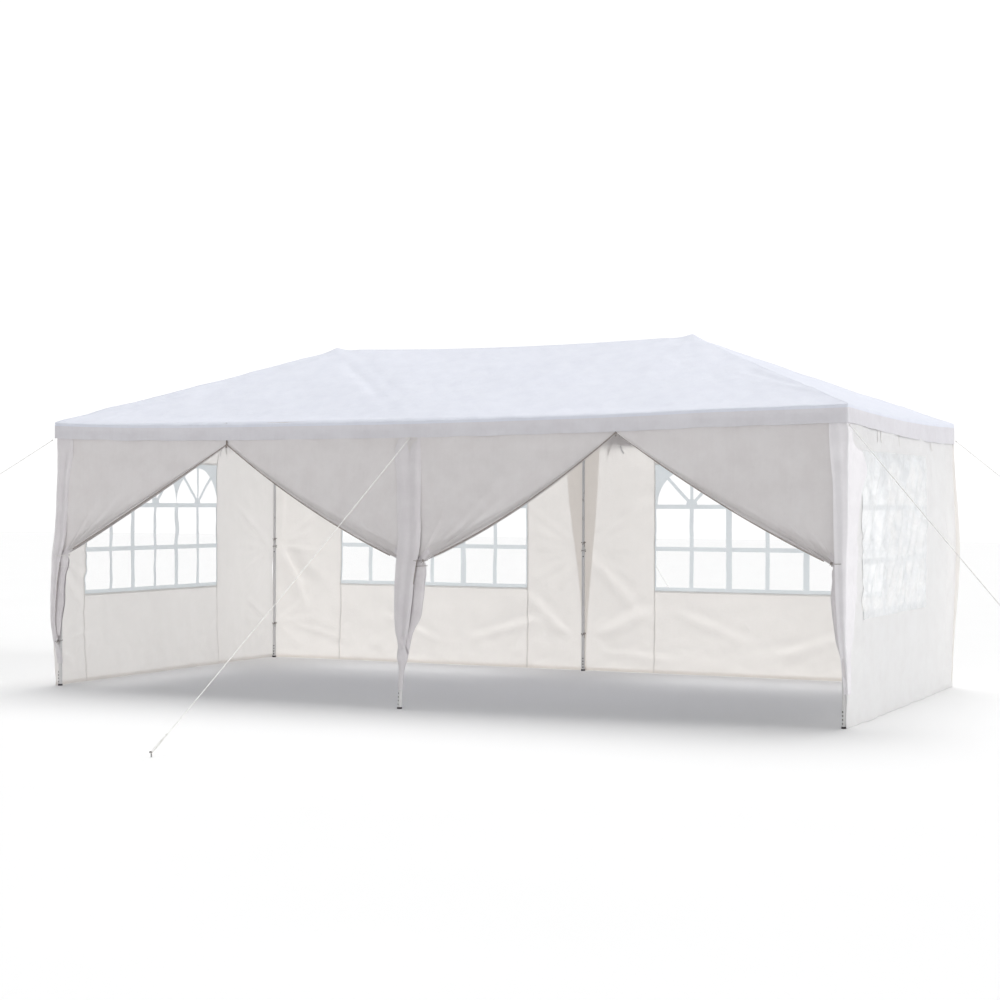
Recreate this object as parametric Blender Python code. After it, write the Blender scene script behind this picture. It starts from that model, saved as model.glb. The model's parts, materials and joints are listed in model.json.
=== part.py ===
"""Party tent of two bays with a hipped roof, four window walls and tied-back door curtains.

Metres, +Z up. X runs along the ridge, the door side faces -Y, and the origin is on the
ground at the middle of the footprint. Left and right are as seen from the door side.
"""

import math

import bmesh
import bpy
from mathutils import Vector

# Frame, measured to the centre lines of the tubes
LEG_X = 2.975
LEG_Y = 1.475
EAVE_JOINT_Z = 1.940
CROWN_X = 1.470
CROWN_Z = 2.520
POLE_RADIUS = 0.0115
LOWER_LEG_RADIUS = 0.0135
LEG_COLLAR_RADIUS = 0.0150
LEG_COLLAR_Z = 0.980
LEG_COLLAR_HEIGHT = 0.018
SOCKET_LENGTH = 0.060
SOCKET_WALL = 0.003
SOCKET_TWIST = 0.13
FOOT_SLEEVE_RADIUS = 0.0150
FOOT_SLEEVE_HEIGHT = 0.115
FOOT_CAP_RADIUS = 0.0170
FOOT_CAP_HEIGHT = 0.012

# The front middle leg stands with its foot pulled outward, which lowers its joint a little
MIDDLE_FOOT = (0.040, -1.730)
MIDDLE_DROP = 0.025

# Roof cover, measured to its outer face
COVER_X = 3.015
COVER_Y = 1.515
COVER_EAVE_Z = 1.972
COVER_RIDGE_Z = 2.570
VALANCE_DROP = 0.120

# Walls and curtains hang outside the legs, under the cover
CLOTH = 0.004
HANG_CLEARANCE = 0.019
WALL_TOP_Z = 1.930
WALL_BOTTOM_Z = 0.015
WALL_BUTT = 0.002

# Windows: a clear sheet sewn into a rectangular opening of the wall
WINDOW_WIDTH = 1.800
WINDOW_BOTTOM_Z = 0.660
WINDOW_TOP_Z = 1.690
FILM = 0.002
BACK_WINDOW_SHIFT = 0.070
END_WINDOW_Y = -0.280

# Door curtains: each bay's door panel opens at its middle and is tied back to the legs
ZIP_TOP_Z = 1.800
DOOR_BUTT = 0.001
TIE_Z = 0.990
CORNER_TAIL_END_Z = 0.250
MIDDLE_TAIL_END_Z = 0.340
# Share of the way down the tail, share of the width at the tie, extra thickness
TAIL_PROFILE = (
    (0.20, 1.00, 0.034),
    (0.45, 0.92, 0.040),
    (0.75, 0.80, 0.032),
    (1.00, 0.45, 0.010),
)

# Guy lines run from the foot of the valance to pegs in the ground
GUY_RADIUS = 0.0025
GUY_KNOT_RADIUS = 0.007
CORNER_PEG = (5.000, 3.400)
MIDDLE_PEG_Y = 4.420
PEG_RADIUS = 0.004
PEG_HEIGHT = 0.035
PEG_TIE_Z = 0.020

GAP = 0.0003
SIDES = 16
SIDE_SIGNS = {"left": -1, "right": 1}

POLE_FINISH = ("tube", (0.52, 0.51, 0.49, 1.0), 0.35, 0.9)
JOINT_FINISH = ("joint", (0.40, 0.40, 0.41, 1.0), 0.45, 0.8)
ROOF_FINISH = ("roof_cloth", (0.82, 0.83, 0.87, 1.0), 0.75, 0.0)
WALL_FINISH = ("wall_cloth", (0.80, 0.78, 0.75, 1.0), 0.75, 0.0)
FILM_FINISH = ("window_film", (0.86, 0.90, 0.93, 1.0), 0.15, 0.0)
CORD_FINISH = ("guy_cord", (0.80, 0.79, 0.77, 1.0), 0.80, 0.0)


def clear_scene():
    for scene_object in list(bpy.data.objects):
        bpy.data.objects.remove(scene_object, do_unlink=True)


def material_for(finish):
    """One Principled material for each named finish, shared by the pieces that have it."""
    name, colour, roughness, metallic = finish
    found = bpy.data.materials.get(name)
    if found:
        return found
    made = bpy.data.materials.new(name)
    made.use_nodes = True
    shader = made.node_tree.nodes["Principled BSDF"]
    shader.inputs["Base Color"].default_value = colour
    shader.inputs["Roughness"].default_value = roughness
    shader.inputs["Metallic"].default_value = metallic
    return made


def add_piece(name, bm, finish, smooth=False):
    """Turn a bmesh into a named object with its material."""
    bmesh.ops.recalc_face_normals(bm, faces=bm.faces)
    mesh = bpy.data.meshes.new(name)
    bm.to_mesh(mesh)
    bm.free()
    piece = bpy.data.objects.new(name, mesh)
    bpy.context.scene.collection.objects.link(piece)
    mesh.materials.append(material_for(finish))
    if smooth:
        mesh.shade_smooth()
        mesh.set_sharp_from_angle(angle=math.radians(40))
    return piece


def ring(bm, centre, axis, radius, sides=SIDES, twist=0.0):
    """A circle of vertices around an axis."""
    across = axis.orthogonal().normalized()
    up = axis.cross(across).normalized()
    turns = (twist + 2 * math.pi * step / sides for step in range(sides))
    return [
        bm.verts.new(centre + radius * (math.cos(turn) * across + math.sin(turn) * up))
        for turn in turns
    ]


def skin_rings(bm, rings):
    """Join a row of rings with side faces and close both ends."""
    for lower, upper in zip(rings, rings[1:]):
        for step, vertex in enumerate(lower):
            following = (step + 1) % len(lower)
            bm.faces.new((vertex, lower[following], upper[following], upper[step]))
    bm.faces.new(tuple(reversed(rings[0])))
    bm.faces.new(tuple(rings[-1]))


def rod_mesh(start, end, radius, sides=SIDES, twist=0.0):
    """A round bar between two points."""
    bm = bmesh.new()
    axis = (end - start).normalized()
    skin_rings(bm, [ring(bm, place, axis, radius, sides, twist) for place in (start, end)])
    return bm


def fuse(piece, others):
    """Unite other objects into a piece and remove them."""
    for other in others:
        union = piece.modifiers.new("union", "BOOLEAN")
        union.operation = "UNION"
        union.solver = "EXACT"
        union.object = other
        bpy.context.view_layer.update()
        graph = bpy.context.evaluated_depsgraph_get()
        fused = bpy.data.meshes.new_from_object(piece.evaluated_get(graph))
        piece.modifiers.clear()
        piece.data = fused
        bpy.data.objects.remove(other, do_unlink=True)
    piece.data.name = piece.name
    return piece


def eave_joints():
    """Where the tubes meet above each leg."""
    places = {}
    for side, sign in SIDE_SIGNS.items():
        places["front_" + side] = Vector((sign * LEG_X, -LEG_Y, EAVE_JOINT_Z))
        places["back_" + side] = Vector((sign * LEG_X, LEG_Y, EAVE_JOINT_Z))
    places["front_middle"] = Vector((0, -LEG_Y, EAVE_JOINT_Z - MIDDLE_DROP))
    places["back_middle"] = Vector((0, LEG_Y, EAVE_JOINT_Z))
    return places


EAVE = eave_joints()
CROWN = {side: Vector((sign * CROWN_X, 0, CROWN_Z)) for side, sign in SIDE_SIGNS.items()}
FEET = {place: Vector((joint.x, joint.y, 0)) for place, joint in EAVE.items()}
FEET["front_middle"] = Vector((*MIDDLE_FOOT, 0))


def poles():
    """Name, start and end of every tube of the roof frame, between joint centres."""
    runs = []
    for row in ("front", "back"):
        for side in SIDE_SIGNS:
            middle = EAVE[row + "_middle"]
            corner = EAVE[f"{row}_{side}"]
            runs.append((f"eave_rail_{row}_{side}", middle, corner))
            runs.append((f"rafter_{row}_{side}_corner", CROWN[side], corner))
            runs.append((f"rafter_{row}_{side}_middle", CROWN[side], middle))
    for side in SIDE_SIGNS:
        runs.append((f"eave_rail_end_{side}", EAVE["front_" + side], EAVE["back_" + side]))
    runs.append(("ridge_tube", CROWN["left"], CROWN["right"]))
    return runs


def make_poles():
    for name, start, end in poles():
        axis = (end - start).normalized()
        inset = axis * (SOCKET_LENGTH + GAP)
        add_piece(name, rod_mesh(start + inset, end - inset, POLE_RADIUS), POLE_FINISH, smooth=True)


def make_joint(name, centre, far_ends):
    """Sockets that leave one point, each towards the far end of its tube."""
    sockets = []
    for index, far_end in enumerate(far_ends):
        towards = (far_end - centre).normalized()
        # Each socket starts just behind the centre, so that all of them cross there, and is
        # turned a little about its axis, so that no two of them share an edge
        root = centre - towards * POLE_RADIUS * 0.5
        mouth = centre + towards * SOCKET_LENGTH
        bm = rod_mesh(root, mouth, POLE_RADIUS + SOCKET_WALL, twist=SOCKET_TWIST * index)
        sockets.append(add_piece(name if not sockets else name + "_arm", bm, JOINT_FINISH))
    joint = fuse(sockets[0], sockets[1:])
    joint.data.shade_smooth()
    joint.data.set_sharp_from_angle(angle=math.radians(40))


def tubes_from(centre):
    """The far ends of the tubes that start at a joint."""
    return [
        end if centre == start else start for _, start, end in poles() if centre in (start, end)
    ]


def make_joints():
    """A joint at each crown and above each leg, with a socket for each tube that ends there."""
    for place, centre in EAVE.items():
        make_joint("eave_joint_" + place, centre, [FEET[place]] + tubes_from(centre))
    for side, centre in CROWN.items():
        make_joint("crown_joint_" + side, centre, tubes_from(centre))


def make_legs():
    """Thin upper tube in a wider lower one, on a sleeve and a cap that is flat on the ground."""
    for place, foot in FEET.items():
        axis = (EAVE[place] - foot).normalized()
        top = (EAVE[place] - foot).length - SOCKET_LENGTH - GAP
        profile = (
            (0, FOOT_CAP_RADIUS),
            (FOOT_CAP_HEIGHT, FOOT_CAP_RADIUS),
            (FOOT_CAP_HEIGHT, FOOT_SLEEVE_RADIUS),
            (FOOT_SLEEVE_HEIGHT, FOOT_SLEEVE_RADIUS),
            (FOOT_SLEEVE_HEIGHT, LOWER_LEG_RADIUS),
            (LEG_COLLAR_Z, LOWER_LEG_RADIUS),
            (LEG_COLLAR_Z, LEG_COLLAR_RADIUS),
            (LEG_COLLAR_Z + LEG_COLLAR_HEIGHT, LEG_COLLAR_RADIUS),
            (LEG_COLLAR_Z + LEG_COLLAR_HEIGHT, POLE_RADIUS),
            (top, POLE_RADIUS),
        )
        bm = bmesh.new()
        rings = [ring(bm, foot + axis * along, axis, radius) for along, radius in profile]
        for vertex in rings[0]:
            vertex.co -= axis * (vertex.co.z / axis.z)
        skin_rings(bm, rings)
        add_piece("leg_" + place, bm, POLE_FINISH, smooth=True)


def thicken(piece, thickness):
    """Give a sheet its thickness on the inner side of its faces."""
    solid = piece.modifiers.new("thickness", "SOLIDIFY")
    solid.thickness = thickness
    solid.offset = -1
    solid.use_even_offset = True
    solid.use_quality_normals = True


def make_roof_cover():
    """One sewn cover: two long slopes, two hipped ends and the valance that hangs from them."""
    bm = bmesh.new()

    def point(x, y, z):
        return bm.verts.new((x, y, z))

    peak = {side: point(sign * CROWN_X, 0, COVER_RIDGE_Z) for side, sign in SIDE_SIGNS.items()}
    middle_z = {"front": COVER_EAVE_Z - MIDDLE_DROP, "back": COVER_EAVE_Z}
    edge = {}
    for row, y in (("front", -COVER_Y), ("back", COVER_Y)):
        edge[row, "middle"] = point(0, y, middle_z[row])
        for side, sign in SIDE_SIGNS.items():
            edge[row, side] = point(sign * COVER_X, y, COVER_EAVE_Z)

    for row in ("front", "back"):
        middle = edge[row, "middle"]
        bm.faces.new((middle, peak["right"], peak["left"]))
        for side in SIDE_SIGNS:
            bm.faces.new((edge[row, side], middle, peak[side]))
    for side in SIDE_SIGNS:
        bm.faces.new((edge["front", side], edge["back", side], peak[side]))

    round_eave = [
        ("front", "left"), ("front", "middle"), ("front", "right"),
        ("back", "right"), ("back", "middle"), ("back", "left"),
    ]
    hem = {key: point(*(edge[key].co - Vector((0, 0, VALANCE_DROP)))) for key in round_eave}
    for here, there in zip(round_eave, round_eave[1:] + round_eave[:1]):
        bm.faces.new((edge[here], hem[here], hem[there], edge[there]))
    cover = add_piece("roof_cover", bm, ROOF_FINISH)
    thicken(cover, CLOTH)


def slab(bm, low, high):
    """A box between two corners."""
    corners = [
        bm.verts.new((x, y, z))
        for x in (low[0], high[0]) for y in (low[1], high[1]) for z in (low[2], high[2])
    ]
    sides = ((0, 1, 3, 2), (4, 6, 7, 5), (0, 4, 5, 1), (2, 3, 7, 6), (0, 2, 6, 4), (1, 5, 7, 3))
    for side in sides:
        bm.faces.new([corners[index] for index in side])


def wall_box(along, start, end, line, bottom, top, thickness, inset=0.0):
    """Corners of a slab that runs along X or Y just outside the leg line at +-line."""
    sign = math.copysign(1, line)
    inner = line + sign * (HANG_CLEARANCE + inset)
    outer = inner + sign * thickness
    near, far = sorted((inner, outer))
    if along == "x":
        return (start, near, bottom), (end, far, top)
    return (near, start, bottom), (far, end, top)


def make_window_wall(name, along, start, end, line, window_middle):
    """A wall with its window opening cut through, and the clear sheet that fills it."""
    bm = bmesh.new()
    slab(bm, *wall_box(along, start, end, line, WALL_BOTTOM_Z, WALL_TOP_Z, CLOTH))
    wall = add_piece("wall_" + name, bm, WALL_FINISH)

    left = window_middle - WINDOW_WIDTH / 2
    right = window_middle + WINDOW_WIDTH / 2
    bm = bmesh.new()
    slab(bm, *wall_box(
        along, left, right, line, WINDOW_BOTTOM_Z, WINDOW_TOP_Z, CLOTH * 3, inset=-CLOTH,
    ))
    cutter = add_piece("opening_" + name, bm, WALL_FINISH)
    cutter.hide_render = True
    cutter.display_type = "WIRE"
    cut = wall.modifiers.new("window", "BOOLEAN")
    cut.operation = "DIFFERENCE"
    cut.solver = "EXACT"
    cut.object = cutter

    bm = bmesh.new()
    slab(bm, *wall_box(
        along, left + GAP, right - GAP, line, WINDOW_BOTTOM_Z + GAP, WINDOW_TOP_Z - GAP,
        FILM, inset=(CLOTH - FILM) / 2,
    ))
    add_piece("window_" + name, bm, FILM_FINISH)


def make_walls():
    corner = LEG_X + HANG_CLEARANCE - WALL_BUTT
    bay_middle = LEG_X / 2 + BACK_WINDOW_SHIFT / 2
    make_window_wall("back_left", "x", -corner, -WALL_BUTT / 2, LEG_Y,
                     -LEG_X / 2 + BACK_WINDOW_SHIFT)
    make_window_wall("back_right", "x", WALL_BUTT / 2, corner, LEG_Y, bay_middle)
    depth = LEG_Y + HANG_CLEARANCE - WALL_BUTT
    for side, sign in SIDE_SIGNS.items():
        make_window_wall("end_" + side, "y", -depth, depth, sign * LEG_X, END_WINDOW_Y)


def leg_line(place, z):
    """The centre line of a leg at a height."""
    foot, joint = FEET[place], EAVE[place]
    return foot.lerp(joint, z / joint.z)


def curtain_rows(place, bay_middle, tie_x, sag, steps=8):
    """Rows across a curtain: leg-side point, free-edge point and extra thickness.

    The free edge runs down the zip, swings to the tie on a shallow curve, and below the tie
    the gathered cloth hangs in front of the leg as a tail.
    """
    towards_bay = math.copysign(1, bay_middle - EAVE[place].x)
    # At a corner the curtain runs on past the leg and meets the end wall
    corner_run = 0.0 if EAVE[place].x == 0 else LEG_X + HANG_CLEARANCE - WALL_BUTT - LEG_X

    def at_leg(z):
        line = leg_line(place, z)
        return Vector((line.x + towards_bay * (DOOR_BUTT - corner_run), line.y - HANG_CLEARANCE, z))

    zip_x = bay_middle - towards_bay * DOOR_BUTT
    top = at_leg(WALL_TOP_Z)
    zip_y = -LEG_Y - HANG_CLEARANCE
    rows = [(top, Vector((zip_x, zip_y, WALL_TOP_Z)), 0.0)]
    tie = Vector((tie_x, at_leg(TIE_Z).y, TIE_Z))
    zip_foot = Vector((zip_x, zip_y, ZIP_TOP_Z))
    for step in range(steps + 1):
        way = step / steps
        free = zip_foot.lerp(tie, way)
        free.z -= 4 * sag * way * (1 - way)
        leg_z = WALL_TOP_Z + (TIE_Z - WALL_TOP_Z) * (step + 1) / (steps + 1)
        rows.append((at_leg(leg_z), free, 0.0))
    width = abs(tie_x - at_leg(TIE_Z).x)
    end_z = MIDDLE_TAIL_END_Z if place == "front_middle" else CORNER_TAIL_END_Z
    for way, share, extra in TAIL_PROFILE:
        leg_side = at_leg(TIE_Z + (end_z - TIE_Z) * way)
        rows.append((leg_side, leg_side + Vector((towards_bay * width * share, 0, 0)), extra))
    return rows


def make_curtain(name, place, bay_middle, tie_x, sag, columns=6):
    """Closed sheet through the curtain's rows, swollen towards the outside along its tail."""
    bm = bmesh.new()
    inner, outer = [], []
    for leg_side, free, extra in curtain_rows(place, bay_middle, tie_x, sag):
        back_row, front_row = [], []
        for column in range(columns + 1):
            across = column / columns
            back = leg_side.lerp(free, across)
            swell = CLOTH + extra * math.sin(math.pi * across)
            back_row.append(bm.verts.new(back))
            front_row.append(bm.verts.new(back - Vector((0, swell, 0))))
        inner.append(back_row)
        outer.append(front_row)
    last = len(inner) - 1
    for row in range(last):
        for column in range(columns):
            for grid in (inner, outer):
                bm.faces.new((grid[row][column], grid[row][column + 1],
                              grid[row + 1][column + 1], grid[row + 1][column]))
        for column in (0, columns):
            bm.faces.new((inner[row][column], outer[row][column],
                          outer[row + 1][column], inner[row + 1][column]))
    for row in (0, last):
        for column in range(columns):
            bm.faces.new((inner[row][column], inner[row][column + 1],
                          outer[row][column + 1], outer[row][column]))
    add_piece(name, bm, WALL_FINISH)


def make_curtains():
    """Four halves: each bay has one tied to its corner leg and one to the middle leg."""
    bay = LEG_X / 2
    make_curtain("door_curtain_left_outer", "front_left", -bay, -2.905, 0.010)
    make_curtain("door_curtain_left_inner", "front_middle", -bay, -0.055, 0.055)
    make_curtain("door_curtain_right_inner", "front_middle", bay, 0.195, 0.065)
    make_curtain("door_curtain_right_outer", "front_right", bay, 2.905, 0.045)


def make_guy_line(place, start, peg):
    """A straight cord with its knot at the valance and its loop round the head of a peg."""
    end = Vector((peg[0], peg[1], PEG_TIE_Z))
    top = Vector((peg[0], peg[1], PEG_HEIGHT))
    name = "guy_line_" + place
    cord = add_piece(name, rod_mesh(start, end, GUY_RADIUS, sides=8), CORD_FINISH, smooth=True)
    peg_piece = add_piece("peg", rod_mesh(Vector((peg[0], peg[1], 0)), top, PEG_RADIUS, sides=8),
                          CORD_FINISH)
    along = (end - start).normalized() * GUY_KNOT_RADIUS
    knot = add_piece("knot", rod_mesh(start - along * 0.5, start + along, GUY_KNOT_RADIUS, sides=8),
                     CORD_FINISH)
    fuse(cord, [peg_piece, knot])


def make_guy_lines():
    """One line from each corner, out along both ways, and one straight out from each middle leg."""
    reach = 2 * GUY_KNOT_RADIUS
    for row, sign_y in (("front", -1), ("back", 1)):
        hem_z = COVER_EAVE_Z - VALANCE_DROP + GUY_KNOT_RADIUS
        for side, sign_x in SIDE_SIGNS.items():
            start = Vector((sign_x * (COVER_X + reach), sign_y * (COVER_Y + reach), hem_z))
            peg = (sign_x * CORNER_PEG[0], sign_y * CORNER_PEG[1])
            make_guy_line(f"{row}_{side}", start, peg)
        drop = MIDDLE_DROP if row == "front" else 0.0
        start = Vector((0, sign_y * (COVER_Y + reach), hem_z - drop))
        make_guy_line(row + "_middle", start, (0, sign_y * MIDDLE_PEG_Y))


clear_scene()
make_legs()
make_poles()
make_joints()
make_roof_cover()
make_walls()
make_curtains()
make_guy_lines()
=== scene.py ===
"""A white party tent of two bays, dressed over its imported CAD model.

The scene makes the cloth cover with its valance, the window walls, the tied-back door
curtains, the cords and the small ties, and gives the steel frame its finish. Metres, +Z up,
the door side faces -Y. Left and right are as seen from the door side.
"""
import json
import math

import bpy
import numpy as np
from mathutils import Euler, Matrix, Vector

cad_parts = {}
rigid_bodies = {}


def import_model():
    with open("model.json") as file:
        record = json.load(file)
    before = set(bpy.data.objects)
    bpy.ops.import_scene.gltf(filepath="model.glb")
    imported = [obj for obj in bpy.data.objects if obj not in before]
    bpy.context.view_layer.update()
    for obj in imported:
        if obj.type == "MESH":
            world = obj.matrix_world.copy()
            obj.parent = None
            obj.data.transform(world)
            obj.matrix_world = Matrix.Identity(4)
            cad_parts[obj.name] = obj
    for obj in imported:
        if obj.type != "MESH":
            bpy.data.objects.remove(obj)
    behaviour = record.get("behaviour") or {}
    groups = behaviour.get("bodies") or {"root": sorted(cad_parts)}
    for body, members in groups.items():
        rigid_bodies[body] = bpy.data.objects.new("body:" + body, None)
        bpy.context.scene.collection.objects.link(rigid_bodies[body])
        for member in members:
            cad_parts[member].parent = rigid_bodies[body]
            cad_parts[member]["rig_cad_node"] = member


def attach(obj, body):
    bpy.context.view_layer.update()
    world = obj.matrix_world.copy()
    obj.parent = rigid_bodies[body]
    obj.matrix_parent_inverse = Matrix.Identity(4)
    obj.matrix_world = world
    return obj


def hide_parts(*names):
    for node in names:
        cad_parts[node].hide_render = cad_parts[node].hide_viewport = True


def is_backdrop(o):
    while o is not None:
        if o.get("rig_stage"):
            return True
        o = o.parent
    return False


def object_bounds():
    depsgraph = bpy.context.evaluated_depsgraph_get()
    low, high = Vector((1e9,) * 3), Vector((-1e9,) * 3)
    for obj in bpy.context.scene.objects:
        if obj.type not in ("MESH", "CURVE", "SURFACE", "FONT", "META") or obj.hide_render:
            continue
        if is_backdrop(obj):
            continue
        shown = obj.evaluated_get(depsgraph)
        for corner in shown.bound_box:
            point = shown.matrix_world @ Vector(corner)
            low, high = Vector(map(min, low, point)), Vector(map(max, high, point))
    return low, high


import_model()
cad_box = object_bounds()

# Frame, to the centre lines of its tubes
LEG_X = 2.975
LEG_Y = 1.475
RAIL_Z = 1.940
CROWN_X = 1.470
MIDDLE_FOOT_X = 0.040
MIDDLE_FOOT_Y = -1.730
MIDDLE_JOINT_Z = 1.915
RAIL_RADIUS = 0.0115
LEG_COLLAR_Z = 0.980

# Roof cover: its corners, its ridge, the hem of its valance and the cloth it is cut from
COVER_X = 3.010
COVER_Y = 1.515
RIDGE_Z = 2.570
VALANCE_DROP = 0.113
SIDE_SLOPE_CLOTH = 1.63
END_SLOPE_CLOTH = 1.657
VALANCE_CLOTH_DEPTH = 0.145
# Height of the eave at places along each side: the cloth is highest at its corner joints
FRONT_EAVE = ((-3.015, 1.955), (-2.6, 1.938), (-1.7, 1.922), (-0.75, 1.920), (0.0, 1.921),
              (0.8, 1.929), (1.66, 1.944), (2.1, 1.958), (2.6, 1.966), (3.015, 1.974))
BACK_EAVE = ((-3.015, 1.966), (-2.4, 1.950), (-1.4, 1.946), (0.0, 1.952), (1.4, 1.948),
             (2.4, 1.954), (3.015, 1.972))
LEFT_EAVE = ((-1.515, 1.962), (-0.9, 1.950), (0.9, 1.950), (1.515, 1.966))
RIGHT_EAVE = ((-1.515, 1.976), (-0.9, 1.960), (0.9, 1.958), (1.515, 1.972))

# Walls and windows
WALL_X = 2.996
WALL_Y = 1.496
WALL_TOP = 1.930
WALL_FOOT = 0.002
WINDOW_FOOT = 0.660
WINDOW_TOP = 1.690
WINDOW_LAP = 0.012
# Half widths of the printed bars, heights of the middle bars and size of the arches
THICK_BAR = 0.024
THIN_BAR = 0.017
SPRING = 0.685
RAIL = 0.345
ARCH = 0.290
BAR_ANGLES = (46, 90, 134)

# Door curtains
BAY_MIDDLE = 1.4875
TIE_Z = 0.990
LAYERS = 12

# Guy lines
CORNER_PEG = (5.000, 3.400)
MIDDLE_PEG_Y = 4.420
CORD_RADIUS = 0.0025
PEG_TIE_Z = 0.020


# Sums on arrays

def eased(low, high, value):
    """0 below low, 1 above high, and a soft step between them."""
    t = np.clip((np.asarray(value, float) - low) / (high - low), 0, 1)
    return t * t * (3 - 2 * t)


def hump(value, middle, width):
    """1 at the middle and nothing a few widths away."""
    return np.exp(-((np.asarray(value, float) - middle) / width) ** 2)


def through(points, value):
    """A smooth line through (place, height) points."""
    places, heights = (np.array(column, float) for column in zip(*points))
    slopes = np.gradient(heights, places)
    value = np.clip(value, places[0], places[-1])
    i = np.clip(np.searchsorted(places, value) - 1, 0, len(places) - 2)
    gap = places[i + 1] - places[i]
    t = (value - places[i]) / gap
    return ((1 + 2 * t) * (1 - t) ** 2 * heights[i] + t * (1 - t) ** 2 * gap * slopes[i]
            + t * t * (3 - 2 * t) * heights[i + 1] + t * t * (t - 1) * gap * slopes[i + 1])


def ripples(a, b, seed, count, longest, shortest, turn=(0.0, math.pi)):
    """Soft cloth waves over a and b, about 1 high, of many lengths and directions."""
    draw = np.random.default_rng(seed)
    total = np.zeros(np.broadcast(a, b).shape)
    for _ in range(count):
        angle = draw.uniform(*turn)
        length = math.exp(draw.uniform(math.log(shortest), math.log(longest)))
        phase = draw.uniform(0, 2 * math.pi)
        way = (a * math.cos(angle) + b * math.sin(angle)) * 2 * math.pi / length
        total = total + np.sin(way + phase) * (length / longest) ** 0.7
    return total / math.sqrt(count)


def fold(a, b, start, end, width, height, one_sided=0.4):
    """A raised fold between two places on the cloth, with a hollow along one side."""
    run = np.subtract(end, start)
    length = float(np.hypot(*run))
    along = ((a - start[0]) * run[0] + (b - start[1]) * run[1]) / length ** 2
    off = ((b - start[1]) * run[0] - (a - start[0]) * run[1]) / length
    taper = eased(-0.05, 0.3, along) * (1 - eased(0.55, 1.05, along))
    return height * taper * (hump(off, 0, width) - one_sided * hump(off, 1.9 * width, width))


# Pieces

def piece_from(name, points, faces, finish, stands_for=(), sharp=50, measures=None):
    """A mesh piece on the frame. measures are the flat cloth's own measures at each point."""
    used = np.unique(np.concatenate([np.ravel(face) for face in faces]))
    place = np.full(len(points), -1)
    place[used] = np.arange(len(used))
    mesh = bpy.data.meshes.new(name)
    mesh.from_pydata(points[used].tolist(), [], [place[face].tolist() for face in faces])
    for key, values in (measures or {}).items():
        layer = mesh.attributes.new(key, "FLOAT", "POINT")
        layer.data.foreach_set("value", np.ascontiguousarray(values[used], np.float32))
    mesh.materials.append(finish)
    piece = bpy.data.objects.new(name, mesh)
    bpy.context.scene.collection.objects.link(piece)
    mesh.polygons.foreach_set("use_smooth", np.ones(len(mesh.polygons), bool))
    mesh.update()
    mesh.set_sharp_from_angle(angle=math.radians(sharp))
    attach(piece, "root")
    if stands_for:
        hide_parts(*stands_for)
    return piece


def grid_faces(rows, columns, first=0, loop_columns=False):
    """Four-sided faces between rows and columns of points."""
    index = first + np.arange(rows * columns).reshape(rows, columns)
    if loop_columns:
        index = np.concatenate([index, index[:, :1]], 1)
    faces = [index[:-1, :-1], index[:-1, 1:], index[1:, 1:], index[1:, :-1]]
    return np.stack(faces, -1)


def cloth(name, points, flat, finish, stands_for=(), cut=None, loop=False, sharp=50):
    """A sheet over rows and columns of points. cut says which of its cells are open."""
    rows, columns = points.shape[:2]
    faces = grid_faces(rows, columns, loop_columns=loop)
    faces = faces.reshape(-1, 4) if cut is None else faces[~cut]
    measures = {"weft": flat[0].ravel(), "warp": flat[1].ravel()}
    return piece_from(name, points.reshape(-1, 3), faces, finish, stands_for, sharp, measures)


def joined_grids(name, grids, finish, stands_for=(), loop=False):
    """One piece from several small grids of points."""
    points, faces, first = [], [], 0
    for grid in grids:
        rows, columns = grid.shape[:2]
        points.append(grid.reshape(-1, 3))
        faces.append(grid_faces(rows, columns, first, loop_columns=loop).reshape(-1, 4))
        first += rows * columns
    return piece_from(name, np.concatenate(points), np.concatenate(faces), finish,
                      stands_for)


def frames_along(path, up):
    """Directions along, across and out of a path of points."""
    ahead = np.gradient(path, axis=0)
    ahead /= np.linalg.norm(ahead, axis=1, keepdims=True)
    up = np.broadcast_to(np.asarray(up, float), path.shape)
    across = np.cross(ahead, up)
    across /= np.maximum(np.linalg.norm(across, axis=1, keepdims=True), 1e-9)
    return ahead, across, np.cross(across, ahead)


def strap(path, up, width, thickness):
    """A flat tape along a path: a closed grid, lying at right angles to up."""
    path = np.asarray(path, float)
    _, across, out = frames_along(path, up)
    corners = []
    for a, o in ((-1, -1), (-1, 1), (-0.5, 1.15), (0.5, 1.15), (1, 1), (1, -1), (0, -1.0)):
        corners.append(path + across * (a * width / 2) + out * (o * thickness / 2))
    return np.stack(corners, 1)


def rod(path, radius, sides=10, lobes=0, twist=0.0, depth=0.0, up=(0.3, 0.2, 0.93)):
    """A round bar or a laid cord along a path, with closed ends."""
    path = np.asarray(path, float)
    _, across, out = frames_along(path, up)
    run = np.concatenate([[0], np.cumsum(np.linalg.norm(np.diff(path, axis=0), axis=1))])
    turn = np.linspace(0, 2 * math.pi, sides, endpoint=False)
    size = np.broadcast_to(radius, run.shape)[:, None]
    if lobes:
        size = size * (1 + depth * np.cos(lobes * turn[None] + (run * twist)[:, None]))
    ring = (path[:, None] + across[:, None] * (np.cos(turn) * size)[..., None]
            + out[:, None] * (np.sin(turn) * size)[..., None])
    ends = [np.broadcast_to(path[k], ring[:1].shape[1:])[None] for k in (0, -1)]
    return np.concatenate([ends[0], ring, ends[1]])


# Finishes

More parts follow.
